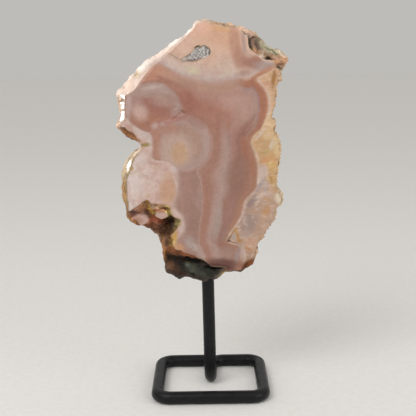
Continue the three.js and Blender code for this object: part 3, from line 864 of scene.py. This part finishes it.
def make_bands_group():
    """The colour of the banded quartz at a place in millimetres, as a cut through it would show."""
    w, start, end = new_group("Growth Bands", {"Place": "Vector"}, {"Colour": "Color"})
    # the bands wander a little from the lines they follow
    close = w.pushed(start["Place"], 0.6, 1.1, 5, 0.65)
    place = w.pushed(close, 0.12, 1.8)
    x, _, z = w.parts(place)
    flat = w.vector_of(x, 0, z)

    # distances, in millimetres, from those lines
    right = w.minus(w.curve(z, RIGHT_LINE), x)
    top = w.minus(w.curve(x, TOP_ARC), z)
    lobe = w.minus(x, w.curve(z, LOBE_LINE))
    pale = w.minus(x, w.curve(z, PALE_LINE))
    upper_eye = w.minus(w.vector("DISTANCE", flat, UPPER_EYE), UPPER_EYE_RADIUS)
    lower_eye = w.minus(w.vector("DISTANCE", flat, LOWER_EYE), LOWER_EYE_RADIUS)
    far_side = w.math("SMOOTH_MIN", right, top, 4)
    near_side = w.math("SMOOTH_MIN", w.math("SMOOTH_MIN", upper_eye, lower_eye, 2), lobe, 1)
    width = w.math("MAXIMUM", w.math("ADD", near_side, far_side), 0.1)
    across = w.math("DIVIDE", near_side, width)

    # the banded heart, from its left side to its right
    low_heart = w.ramp(
        across, (0, "AC8F83"), (0.03, "A17B6D"), (0.08, "9D7465"), (0.18, "9D7465"), (0.28, "A6857A"),
        (0.36, "A78A80"), (0.45, "9F7F74"), (0.55, "976E60"), (0.68, "92695C"), (0.8, "966C5C"),
        (0.88, "9E7360"), (0.96, "9F745F"), (1, "B08F7E"),
    )  # fmt: skip
    high_heart = w.ramp(
        across, (0, "A57A6B"), (0.05, "9A6C5D"), (0.13, "9F7262"), (0.3, "A27364"), (0.39, "A37465"),
        (0.48, "AC8477"), (0.62, "B08D82"), (0.76, "AC887C"), (0.83, "A5867D"), (0.865, "9A7C76"),
        (0.89, "A26E58"), (0.96, "A4705A"), (1, "BC9078"),
    )  # fmt: skip
    under_arc = w.ramp(top, (0, "B79D92"), (1.5, "B08F82"), (3, "AC8877"), (6, "AD8777"), (9, "A67B6C"))
    high_heart = w.mix(w.times(w.range(top, 10, 4), w.range(x, 24, 14)), high_heart, under_arc)
    colour = w.mix(w.range(z, 128, 146), low_heart, high_heart)
    colour = lay_patches(w, place, colour, HEART_PATCHES)

    # the lower lobe and the eyes
    lobe_colour = w.ramp(pale, (0, "A88A7F"), (3, "9E7A6E"), (9, "99766A"), (12, "A08076"), (40, "A57B6B"))
    colour = w.mix(w.range(near_side, 0.5, -0.4), colour, lobe_colour)
    upper_ring = w.ramp(
        upper_eye, (-14, "A07264"), (-6, "A07264"), (-3.5, "A6857B"), (-1, "A78A81"), (0, "9F7466")
    )
    upper_ring = lay_patches(w, place, upper_ring, UPPER_EYE_PATCHES)
    colour = w.mix(w.range(upper_eye, 1.0, -0.9), colour, upper_ring)
    lower_ring = w.ramp(
        lower_eye, (-8, "A58577"), (-5, "A68678"), (-3.5, "A68B82"), (-1.2, "A98C84"), (0, "A68074")
    )
    colour = w.mix(w.range(lower_eye, 0.7, -0.5), colour, lower_ring)
    colour = lay_patches(w, place, colour, LOWER_EYE_PATCHES)

    # the pale zone at the left
    chalk = w.range(w.noise(place, 0.22, 4, 0.6), 0.4, 0.6)
    pale_colour = w.mix(
        chalk,
        w.ramp(pale, (-22, "C6AEA5"), (-12, "BD998C"), (-3, "BA968A"), (0, "BB9E93")),
        w.ramp(pale, (-22, "D4C6C1"), (-12, "C8AEA5"), (-3, "C4A69C"), (0, "C2AAA1")),
    )
    pale_colour = lay_patches(w, close, pale_colour, PALE_PATCHES)
    beyond_pale = w.range(pale, 1.3, -1.1)
    colour = w.mix(beyond_pale, colour, pale_colour)

    # the crystal zone at the right, and the thin white line that bounds it
    streak = w.range(w.noise(w.vector("MULTIPLY", place, (0.3, 1, 1.2)), 0.7, 4, 0.6), 0.35, 0.65)
    right_colour = w.mix(
        streak,
        w.ramp(
            z, (66, "A08068"), (74, "AF8F7C"), (88, "A88A79"), (100, "AC8C78"), (112, "B89C8C"),
            (122, "B9936C"), (134, "C39E7C"), (142, "CCAB84"), (156, "C0997A"),
        ),
        w.ramp(
            z, (66, "94745C"), (80, "B4937D"), (100, "B89B88"), (112, "C2AA9D"), (120, "C9A577"),
            (142, "D2B490"), (156, "CBA88A"),
        ),
    )  # fmt: skip
    right_colour = lay_patches(w, close, right_colour, RIGHT_PATCHES)
    cloudy = w.noise(w.vector("MULTIPLY", close, (0.7, 1, 1)), 0.45, 5, 0.65)
    right_colour = w.mix(w.range(cloudy, 0.5, 0.68, 0, 0.35), right_colour, "D8C6B4")
    right_colour = w.mix(w.range(cloudy, 0.47, 0.3, 0, 0.3), right_colour, "AC7C4C")
    colour = w.mix(w.range(right, 0.2, -0.3), colour, right_colour)
    white_line = w.range(w.math("ABSOLUTE", w.math("ADD", right, 0.6)), 0.9, 0.15)
    faint = w.range(w.noise(place, 0.15, 2), 0.38, 0.62, 0.1, 0.65)
    colour = w.mix(w.times(white_line, faint), colour, "C6B0A8")

    # the light zone at the top, above a whitish arc
    above = w.times(top, -1)
    pink_top = w.ramp(
        above, (0, "B59B93"), (2, "BDA298"), (5, "C4A799"), (10, "C8A38E"), (16, "D0AC97"), (26, "DBAF9A")
    )
    milky_top = w.ramp(
        above, (0, "B9A7A0"), (2, "C2AFA4"), (5, "CAB2A2"), (10, "CEAE9C"), (16, "D3B09D"), (26, "DEB6A2")
    )
    top_colour = w.mix(w.range(w.noise(place, 0.16, 4, 0.6), 0.38, 0.62), pink_top, milky_top)
    top_colour = lay_patches(w, close, top_colour, TOP_PATCHES)
    colour = w.mix(w.range(above, -1.0, 1.2), colour, top_colour)
    colour = lay_patches(w, close, colour, EDGE_PATCHES)

    # fine growth lines, milky clouds and the grain of the quartz
    eye_lines = w.range(w.line_noise(near_side, 1.4, 4), 0.3, 0.7, -1, 1, "LINEAR")
    side_lines = w.range(w.line_noise(right, 1.3, 4), 0.3, 0.7, -1, 1, "LINEAR")
    eye_share = w.times(w.range(near_side, 9, 3), w.range(pale, -1, 1))
    side_share = w.times(w.range(right, 12, 6), w.range(right, -4, -1))
    lines = w.math("ADD", w.times(eye_lines, eye_share), w.times(side_lines, side_share))
    fade = w.range(w.noise(place, 0.1, 2), 0.35, 0.65, 0.015, 0.06)
    clouds = w.range(w.noise(place, 0.4, 7, 0.68), 0.25, 0.75, 0.9, 1.1, "LINEAR")
    mosaic = w.channels(w.cells(close, 1.5))[0]
    grains = w.range(mosaic, 0, 1, 0.955, 1.045, "LINEAR")
    shade = w.times(w.math("MULTIPLY_ADD", lines, fade, clouds), grains)
    w.join(w.shaded(colour, shade), end["Colour"])
    return w.tree


def make_stone_material(settings, speckle):
    material, w, shader, place = new_material("banded_amethyst")
    x, y, z = w.parts(place)
    bands = w.group(make_bands_group(), place=place)["Colour"]
    grain = w.group(speckle, place=place, size=0.55)
    relief = w.add("Attribute", attribute_name="relief").outputs["Fac"]
    rim = w.add("Attribute", attribute_name="rim").outputs["Fac"]

    # the polished face and the sawn back are flat: everything between them is broken or crusted
    rough = w.range(y, FACE_Y / MM + 0.05, FACE_Y / MM + 0.25)
    back = w.range(y, BACK_Y / MM - 0.35, BACK_Y / MM - 0.1)
    deep = w.range(y, FACE_Y / MM + 10, FACE_Y / MM + 14)
    loose = w.pushed(place, 0.4, 3.4, 6, 0.68)

    skin = w.mix(w.range(grain["Broad"], 0.4, 0.6), settings.crust, "B0906F")
    skin = lay_patches(w, loose, skin, CRUST_PATCHES)
    broken = lay_patches(w, loose, skin, BROKEN_PATCHES)
    # at the shoulder the quartz shows through the chalk, more so near the face
    shoulder = patch_mask(w, place, *SHOULDER)
    veil = w.range(w.math("MULTIPLY_ADD", grain["Broad"], 4, y), FACE_Y / MM + 5, FACE_Y / MM + 2.8, 0, 0.75)
    veil = w.times(shoulder, veil, w.range(x, -33, -23))
    broken = w.mix(veil, broken, bands)
    # ochre and dark specks, but none on the shoulder
    specks = w.noise(loose, 1.1, 5, 0.72)
    plain = w.minus(1.0, shoulder)
    ochre = w.times(w.range(specks, 0.54, 0.64, 0, 0.45), plain)
    ochre = w.times(ochre, w.times(w.range(x, 22, 12), w.range(z, 70, 78)))
    broken = w.mix(ochre, broken, "C0924C")
    grit = w.range(w.noise(loose, 1.6, 4, 0.72), 0.3, 0.7, 0.45, 1.5, "LINEAR")
    broken = w.shaded(broken, w.lerp(shoulder, grit, 1.0))
    rind = w.mix(deep, broken, skin)
    # brown earth painted into the crust's low places, which also stands in as painted shade in its crevices
    crevice_brown_and_shade_mask = w.times(w.range(relief, 0.42, 0.15), w.range(grain["Broad"], 0.35, 0.6))
    rind = w.mix(w.times(crevice_brown_and_shade_mask, 0.45), rind, settings.crevice_brown_and_shade)
    # painted shade in the crust's crevices and painted light on its peaks, both from the relief
    crevice_shade_and_peak_light = w.range(w.math("MULTIPLY_ADD", grain["Fine"], 0.5, relief), 0.45, 0.95, 0.72, 1.12)
    rind = w.shaded(rind, crevice_shade_and_peak_light)

    # the face's own edge is a little stained and chipped
    stain = w.times(w.range(rim, 0.28, 0.02), w.range(grain["Broad"], 0.42, 0.58))
    face = w.mix(w.times(stain, 0.45), bands, w.mix(0.5, rind, "A9875C"))
    thread = w.times(w.range(rim, 0.18, 0.06), patch_mask(w, loose, *STAINED_EDGE))
    face = w.mix(thread, face, "78683C")
    colour = w.mix(rough, face, rind)
    sawn = w.mix(0.25, bands, "C9B8AC")
    w.join(w.mix(back, colour, sawn), shader.inputs["Base Color"])

    polished = w.range(w.noise(place, 0.5, 3), 0.3, 0.7, 0.17, 0.24)
    shine = 0.0
    for patch in SMOOTH_CRUST:
        shine = w.math("MAXIMUM", shine, patch_mask(w, place, *patch))
    shine = w.times(shine, w.range(y, -3, -5), rough)
    w.join(shine, shader.inputs["Coat Weight"])
    dull = w.lerp(shine, 0.75, 0.1)
    gloss = w.lerp(w.times(rough, w.minus(1.0, back)), polished, dull)
    w.join(w.lerp(back, gloss, 0.5), shader.inputs["Roughness"])
    coarse = w.times(w.math("MULTIPLY_ADD", grain["Broad"], 1.5, grain["Fine"]), rough)
    height = w.times(coarse, w.minus(1.0, shine))
    w.join(bump(w, height, 0.0005, 0.6), shader.inputs["Normal"])
    shader.inputs["IOR"].default_value = QUARTZ_IOR
    shader.inputs["Specular IOR Level"].default_value = 0.36
    shader.inputs["Coat Roughness"].default_value = 0.03
    return material


def make_druze_material(settings, speckle):
    material, w, shader, place = new_material("pointed_druze")
    grain = w.group(speckle, place=place, size=0.5)
    colour = w.mix(w.range(grain["Broad"], 0.35, 0.65), settings.druze, "DAD8D6")
    colour = lay_patches(w, w.pushed(place, 0.6, 1.5), colour, DRUZE_PATCHES)
    w.join(colour, shader.inputs["Base Color"])
    w.join(w.range(grain["Fine"], 0.2, 0.8, 0.25, 0.5), shader.inputs["Roughness"])
    w.join(bump(w, grain["Fine"], 0.0002, 0.2), shader.inputs["Normal"])
    shader.inputs["IOR"].default_value = QUARTZ_IOR
    return material


def make_paint_material(settings, speckle):
    material, w, shader, place = new_material("satin_enamel")
    grain = w.group(speckle, place=place, size=0.4)
    colour = w.mix(w.range(grain["Broad"], 0.3, 0.7), settings.enamel, "151518")
    w.join(colour, shader.inputs["Base Color"])
    w.join(w.range(grain["Broad"], 0.3, 0.7, 0.3, 0.42), shader.inputs["Roughness"])
    w.join(bump(w, grain["Fine"], 0.0001, 0.25), shader.inputs["Normal"])
    shader.inputs["Specular IOR Level"].default_value = 0.25
    return material


# ---- Stone ----


class AMETHYST_OT_stone(bpy.types.Operator):
    """Carve the slice: flat polished face, broken hollows and lumpy crust"""

    bl_idname = "amethyst.stone"
    bl_label = "Stone"

    def execute(self, context):
        settings = context.scene.amethyst_stone
        stone = copy_of("slice", "amethyst_slice")
        apply_modifier(stone, "REMESH", mode="VOXEL", voxel_size=settings.grain)
        places = places_of(stone)
        for plane in (FACE_Y, BACK_Y):
            places[np.abs(places[:, 1] - plane) < 0.35 * settings.grain, 1] = plane
        x, z = self.wavering(places[:, 0] / MM, places[:, 2] / MM)
        worn = sum(inside_patch(x, z, *patch) for patch in WORN_FACE)
        places[:, 1] = np.maximum(places[:, 1], FACE_Y + WORN_DEPTH * np.minimum(worn, 1))
        sunk = sum(inside_patch(x, z, *patch) for patch in HOLLOWS)
        # the hollows spare the face's own edge and the rear half
        depth = (places[:, 1] - FACE_Y) / MM
        sunk *= smooth(depth, 0.8, 2.5) * (1 - smooth(depth, 9, 12))
        places[:, 1] += HOLLOW_DEPTH * np.minimum(sunk, 1)
        move_to(stone, places)
        self.mark_rim(stone, places)

        rough, toothed = self.crust_weights(places)
        weigh(stone, "rough", rough)
        weigh(stone, "toothed", toothed)
        lumps = make_texture("crust_lumps", "VORONOI", LUMP_SIZE)
        grit = make_texture("crust_grit", "CLOUDS", GRIT_SIZE, noise_depth=3)
        teeth = make_texture("crust_teeth", "VORONOI", TOOTH_SIZE)
        displace(stone, lumps, -settings.lumps, vertex_group="rough")
        displace(stone, grit, settings.grit, vertex_group="rough")
        displace(stone, teeth, -settings.teeth, vertex_group="toothed")

        # the relief, how far the crust moved out or in, gives the stone's colour its painted crevice shade
        # and peak light
        normals = np.empty(len(places) * 3)
        stone.data.vertices.foreach_get("normal", normals)
        rise = ((places_of(stone) - places) * normals.reshape(-1, 3)).sum(axis=1)
        write_attribute(stone, "relief", np.clip(0.5 + rise / settings.lumps, 0, 1))
        self.thin_out(stone, places)
        stone.vertex_groups.clear()
        only(stone)
        bpy.ops.object.shade_smooth_by_angle(angle=math.radians(40))
        finish_piece(stone, "banded_amethyst", "slice")
        return {"FINISHED"}

    def wavering(self, x, z):
        """The same places moved about a little, so that patches on the stone have uneven edges."""
        return x + 0.25 * np.sin(1.3 * z) + 0.15 * np.sin(3.1 * z), z + 0.25 * np.sin(1.7 * x)

    def mark_rim(self, stone, places):
        """Writes each vertex's distance from the rim of the polished face, as a share of RIM_REACH."""
        face = places[:, 1] < FACE_Y + 0.01 * MM
        outside = np.flatnonzero(~face & (places[:, 1] < FACE_Y + 1.5 * MM))
        tree = KDTree(len(outside))
        for index in outside:
            tree.insert(places[index], int(index))
        tree.balance()
        rim = np.zeros(len(places))
        for index in np.flatnonzero(face):
            rim[index] = min(tree.find(places[index])[2] / RIM_REACH, 1)
        write_attribute(stone, "rim", rim)

    def thin_out(self, stone, places):
        """Joins the small faces in the middle of the flat face and back into larger ones."""
        rim = np.empty(len(places))
        stone.data.attributes["rim"].data.foreach_get("value", rim)
        weigh(stone, "plain", ((rim >= 1) | (places[:, 1] >= BACK_Y)).astype(float))
        apply_modifier(stone, "DECIMATE", ratio=0.6, vertex_group="plain")

    def crust_weights(self, places):
        """How far each vertex follows the crust's lumps, and its fine teeth."""
        x, z = places[:, 0] / MM, places[:, 2] / MM
        depth = (places[:, 1] - FACE_Y) / MM
        rear = (BACK_Y - places[:, 1]) / MM
        rough = smooth(depth, 0.05, 1.1) * smooth(rear, 0.05, 0.9)
        near_face = 1 - smooth(depth, 4, 7)
        for patch in SMOOTH_CRUST:
            rough *= 1 - 0.96 * inside_patch(x, z, *patch) * near_face
        # the shoulder is chalky and even
        shoulder = smooth(z, 150, 158) * (1 - smooth(x, -10, 5)) * near_face
        rough *= 1 - 0.6 * shoulder
        # the stone is plain round its post
        post = np.hypot(x - SOCKET_X / MM, (places[:, 1] - POST_Y) / MM)
        rough *= np.maximum(smooth(post, 4.5, 7), z > STAND_HIGH.z / MM + 5)
        toothed = smooth(depth, 0.05, 0.6) * smooth(rear, 2, 5) * smooth(x, 22, 30) * (z < 165)
        return rough, toothed


# ---- Pocket ----


class AMETHYST_OT_pocket(bpy.types.Operator):
    """Line the pocket with small pointed crystals"""

    bl_idname = "amethyst.pocket"
    bl_label = "Pocket crystals"

    def execute(self, context):
        settings = context.scene.amethyst_pocket
        chance = random.Random(5)
        druze = copy_of("pocket_crystals", "pocket_druze")
        middle = np.array((POCKET_LOW + POCKET_HIGH) / 2)
        move_to(druze, middle + (places_of(druze) - middle) * BED_SPREAD)
        apply_modifier(druze, "BEVEL", width=BED_BEVEL, segments=1, limit_method="ANGLE")
        point = self.make_point(settings.width)
        crystals = []
        for _ in range(settings.crystals):
            x = chance.uniform(POCKET_LOW.x, POCKET_HIGH.x)
            z = chance.uniform(POCKET_LOW.z, POCKET_HIGH.z)
            hit, spot, facing, _ = druze.ray_cast(Vector((x, FACE_Y - 0.01, z)), Vector((0, 1, 0)))
            size = chance.uniform(0.5, 1.25)
            tilt = Vector((chance.gauss(0, 0.12), -1, chance.gauss(0, 0.12))) + 0.4 * facing
            turn = chance.uniform(0, math.tau)
            if hit and spot.y - CRYSTAL_ROOM * size * settings.width > FACE_Y + 0.2 * MM:
                crystals.append((spot, tilt, turn, size))
        only(druze)
        for spot, tilt, turn, size in crystals:
            copy = bpy.data.objects.new("crystal", point.data.copy())
            bpy.context.scene.collection.objects.link(copy)
            stand = tilt.to_track_quat("Z", "Y").to_matrix().to_4x4()
            copy.data.transform(
                Matrix.Translation(spot) @ stand @ Matrix.Rotation(turn, 4, "Z") @ Matrix.Scale(size, 4)
            )
            copy.select_set(True)
        bpy.ops.object.join()
        bpy.data.objects.remove(point)
        only(druze)
        bpy.ops.object.shade_flat()
        finish_piece(druze, "pointed_druze", "pocket_crystals")
        return {"FINISHED"}

    def make_point(self, width):
        """One six-sided crystal: a short prism under a pointed cap."""
        point = add_circle("crystal_point", vertices=6, radius=width / 2, fill_type="NGON")
        edit_all()
        bpy.ops.transform.translate(value=(0, 0, -CRYSTAL_ROOT * width))
        extrude((0, 0, CRYSTAL_PRISM * width))
        extrude((0, 0, CRYSTAL_CAP * width))
        bpy.ops.mesh.merge(type="CENTER")
        close_edit()
        return point


# ---- Stand ----


class AMETHYST_OT_stand(bpy.types.Operator):
    """Bend the stand from one round rod, and weld its cut end"""

    bl_idname = "amethyst.stand"
    bl_label = "Stand"

    def execute(self, context):
        settings = context.scene.amethyst_stand
        low, high, rise = STAND_LOW, STAND_HIGH, ROD_RADIUS
        middle = (low.x + high.x) / 2
        left, right = low.x + rise, high.x - rise
        front, rear = low.y + rise, high.y - rise
        foot = middle + FOOT_SKEW
        top = high.z - ROD_RADIUS * POST_LEAN / high.z
        corners = [
            Vector((foot - CUT_END_BACK, rear, rise)),
            Vector((left, rear, rise)),
            Vector((left, front, rise)),
            Vector((right, front, rise)),
            Vector((right, rear, rise)),
            Vector((foot, rear, rise)),
            Vector((middle, POST_Y, rise)),
            Vector((middle - POST_LEAN, POST_Y, top)),
        ]
        rod = self.bend_rod(corners, settings)
        bead = self.make_bead(Vector((foot - CUT_END_BACK / 2 - 0.4 * MM, rear, rise)))
        only(rod)
        bead.select_set(True)
        bpy.ops.object.join()
        bpy.ops.object.shade_smooth_by_angle(angle=math.radians(35))
        finish_piece(rod, "satin_enamel", "stand")
        return {"FINISHED"}

    def bend_rod(self, corners, settings):
        """A round section drawn along the straights and spun round the bends."""
        heading = (corners[1] - corners[0]).normalized()
        rod = add_circle(
            "rod_stand",
            vertices=settings.sides,
            radius=ROD_RADIUS,
            fill_type="NOTHING",
            location=corners[0],
            rotation=heading.to_track_quat("Z", "Y").to_euler(),
        )
        settle(rod)
        edit_all()
        here = corners[0]
        for corner, following in zip(corners[1:-1], corners[2:]):
            heading = (corner - here).normalized()
            turned = (following - corner).normalized()
            angle = heading.angle(turned)
            setback = BEND_RADIUS * math.tan(angle / 2)
            begin = corner - setback * heading
            axis = heading.cross(turned).normalized()
            centre = begin + BEND_RADIUS * axis.cross(heading)
            extrude(begin - here)
            # the spin tool turns the other way round its axis
            bpy.ops.mesh.spin(steps=settings.bend_steps, angle=-angle, center=centre, axis=axis)
            here = corner + setback * turned
        extrude(corners[-1] - here)
        bpy.ops.mesh.select_all(action="SELECT")
        bpy.ops.mesh.remove_doubles(threshold=MERGE_REACH)
        bpy.ops.mesh.select_all(action="DESELECT")
        bpy.ops.mesh.select_mode(type="EDGE")
        bpy.ops.mesh.select_non_manifold()
        bpy.ops.mesh.edge_face_add()
        close_edit()
        return rod

    def make_bead(self, middle):
        """The weld between the rod's cut end and the bend beside it: a lump with a rippled skin."""
        bpy.ops.object.select_all(action="DESELECT")
        bpy.ops.mesh.primitive_uv_sphere_add(
            segments=32, ring_count=20, radius=1, location=middle, scale=WELD_SIZE
        )
        bead = bpy.context.object
        settle(bead)
        displace(bead, make_texture("weld_ripples", "CLOUDS", RIPPLE_SIZE), RIPPLE_HEIGHT, 0.6)
        return bead


# ---- Studio ----

CAMERA_PLACE = (2.4 * MM, -454.4 * MM, 176.5 * MM)
CAMERA_PITCH = math.radians(10.2)
CAMERA_ROLL = math.radians(-0.88)
CAMERA_LENS = 77.9
AIM = (0, 0, 0.11)
TABLE_RADIUS = 5
TABLE_THICKNESS = 0.03
# How bright the room's walls look to the camera
WALLS_AS_SEEN = 0.57


class AMETHYST_OT_studio(bpy.types.Operator):
    """Set up the pale table, the soft lights and the camera"""

    bl_idname = "amethyst.studio"
    bl_label = "Studio"

    def execute(self, context):
        settings = context.scene.amethyst_studio
        scene = context.scene
        self.make_table(settings)
        self.make_light("key", settings.key, (-0.45, -0.6, 0.8), (0.5, 0.5))
        window = self.make_light("window", settings.window, (-1.0, 0.15, 0.22), (0.36, 0.6))
        # the narrow window lights the stone alone, so that it draws no edge across the table
        window.light_linking.receiver_collection = self.alone("amethyst_slice")
        self.make_light("fill", settings.fill, (0.8, -0.6, 0.4), (0.6, 0.6))
        self.make_light("ceiling", settings.ceiling, (0, 0, 3.5), (24, 24))
        world = bpy.data.worlds.new("room")
        world.use_nodes = True
        world.node_tree.nodes.clear()
        w = Wiring(world.node_tree)
        # the walls of the room look as pale as the table, and light it gently
        walls = w.add("Background")
        w.join("F3F1ED", walls.inputs["Color"])
        seen = w.add("LightPath").outputs["Is Camera Ray"]
        w.join(w.lerp(seen, settings.sky, WALLS_AS_SEEN), walls.inputs["Strength"])
        w.join(walls.outputs[0], w.add("OutputWorld").inputs["Surface"])
        scene.world = world
        scene.view_settings.view_transform = "Standard"
        lens = bpy.data.cameras.new("camera")
        lens.lens = CAMERA_LENS
        lens.clip_start = 0.01
        camera = bpy.data.objects.new("camera", lens)
        camera.matrix_world = (
            Matrix.Translation(CAMERA_PLACE)
            @ Matrix.Rotation(math.pi / 2 - CAMERA_PITCH, 4, "X")
            @ Matrix.Rotation(CAMERA_ROLL, 4, "Z")
        )
        scene.collection.objects.link(camera)
        scene.camera = camera
        return {"FINISHED"}

    def make_table(self, settings):
        under = (0, 0, -TABLE_THICKNESS)
        table = add_circle("table_top", vertices=128, radius=TABLE_RADIUS, fill_type="NGON", location=under)
        settle(table)
        edit_all()
        extrude((0, 0, TABLE_THICKNESS))
        close_edit()
        material, w, shader, place = new_material("pale_table")
        cloud = w.range(w.noise(place, 0.3, 3), 0.3, 0.7)
        w.join(w.mix(cloud, settings.table, "F0EEEA"), shader.inputs["Base Color"])
        shader.inputs["Roughness"].default_value = 0.8
        shader.inputs["Specular IOR Level"].default_value = 0.1
        table.data.materials.append(material)

    def make_light(self, name, power, place, size):
        lamp = bpy.data.lights.new(name, "AREA")
        lamp.shape = "RECTANGLE"
        lamp.size, lamp.size_y = size
        lamp.energy = power
        light = bpy.data.objects.new(name, lamp)
        light.location = place
        light.rotation_euler = (Vector(AIM) - Vector(place)).to_track_quat("-Z", "Y").to_euler()
        bpy.context.scene.collection.objects.link(light)
        return light

    def alone(self, name):
        """A collection that holds one object only."""
        collection = bpy.data.collections.new(name)
        collection.objects.link(bpy.data.objects[name])
        return collection


# ---- Materials, panel and run ----


class AMETHYST_OT_materials(bpy.types.Operator):
    """Make the materials of the stone, the crystals and the stand"""

    bl_idname = "amethyst.materials"
    bl_label = "Materials"

    def execute(self, context):
        speckle = make_grain_group()
        make_stone_material(context.scene.amethyst_stone, speckle)
        make_druze_material(context.scene.amethyst_pocket, speckle)
        make_paint_material(context.scene.amethyst_stand, speckle)
        return {"FINISHED"}


OPERATORS = (
    AMETHYST_OT_materials,
    AMETHYST_OT_stone,
    AMETHYST_OT_pocket,
    AMETHYST_OT_stand,
    AMETHYST_OT_studio,
)


class AMETHYST_PT_panel(bpy.types.Panel):
    bl_idname = "AMETHYST_PT_panel"
    bl_label = "Amethyst Slice"
    bl_space_type = "VIEW_3D"
    bl_region_type = "UI"
    bl_category = "Amethyst"

    def draw(self, context):
        for operator in OPERATORS:
            self.layout.operator(operator.bl_idname)


SETTINGS = {
    "amethyst_stone": StoneSettings,
    "amethyst_pocket": PocketSettings,
    "amethyst_stand": StandSettings,
    "amethyst_studio": StudioSettings,
}


def register():
    for name, group in SETTINGS.items():
        bpy.utils.register_class(group)
        setattr(bpy.types.Scene, name, PointerProperty(type=group))
    for operator in OPERATORS:
        bpy.utils.register_class(operator)
    bpy.utils.register_class(AMETHYST_PT_panel)


def unregister():
    bpy.utils.unregister_class(AMETHYST_PT_panel)
    for operator in reversed(OPERATORS):
        bpy.utils.unregister_class(operator)
    for name, group in SETTINGS.items():
        delattr(bpy.types.Scene, name)
        bpy.utils.unregister_class(group)


def main():
    register()
    bpy.ops.amethyst.materials()
    bpy.ops.amethyst.stone()
    bpy.ops.amethyst.pocket()
    bpy.ops.amethyst.stand()
    bpy.ops.amethyst.studio()


if __name__ == "__main__":
    main()
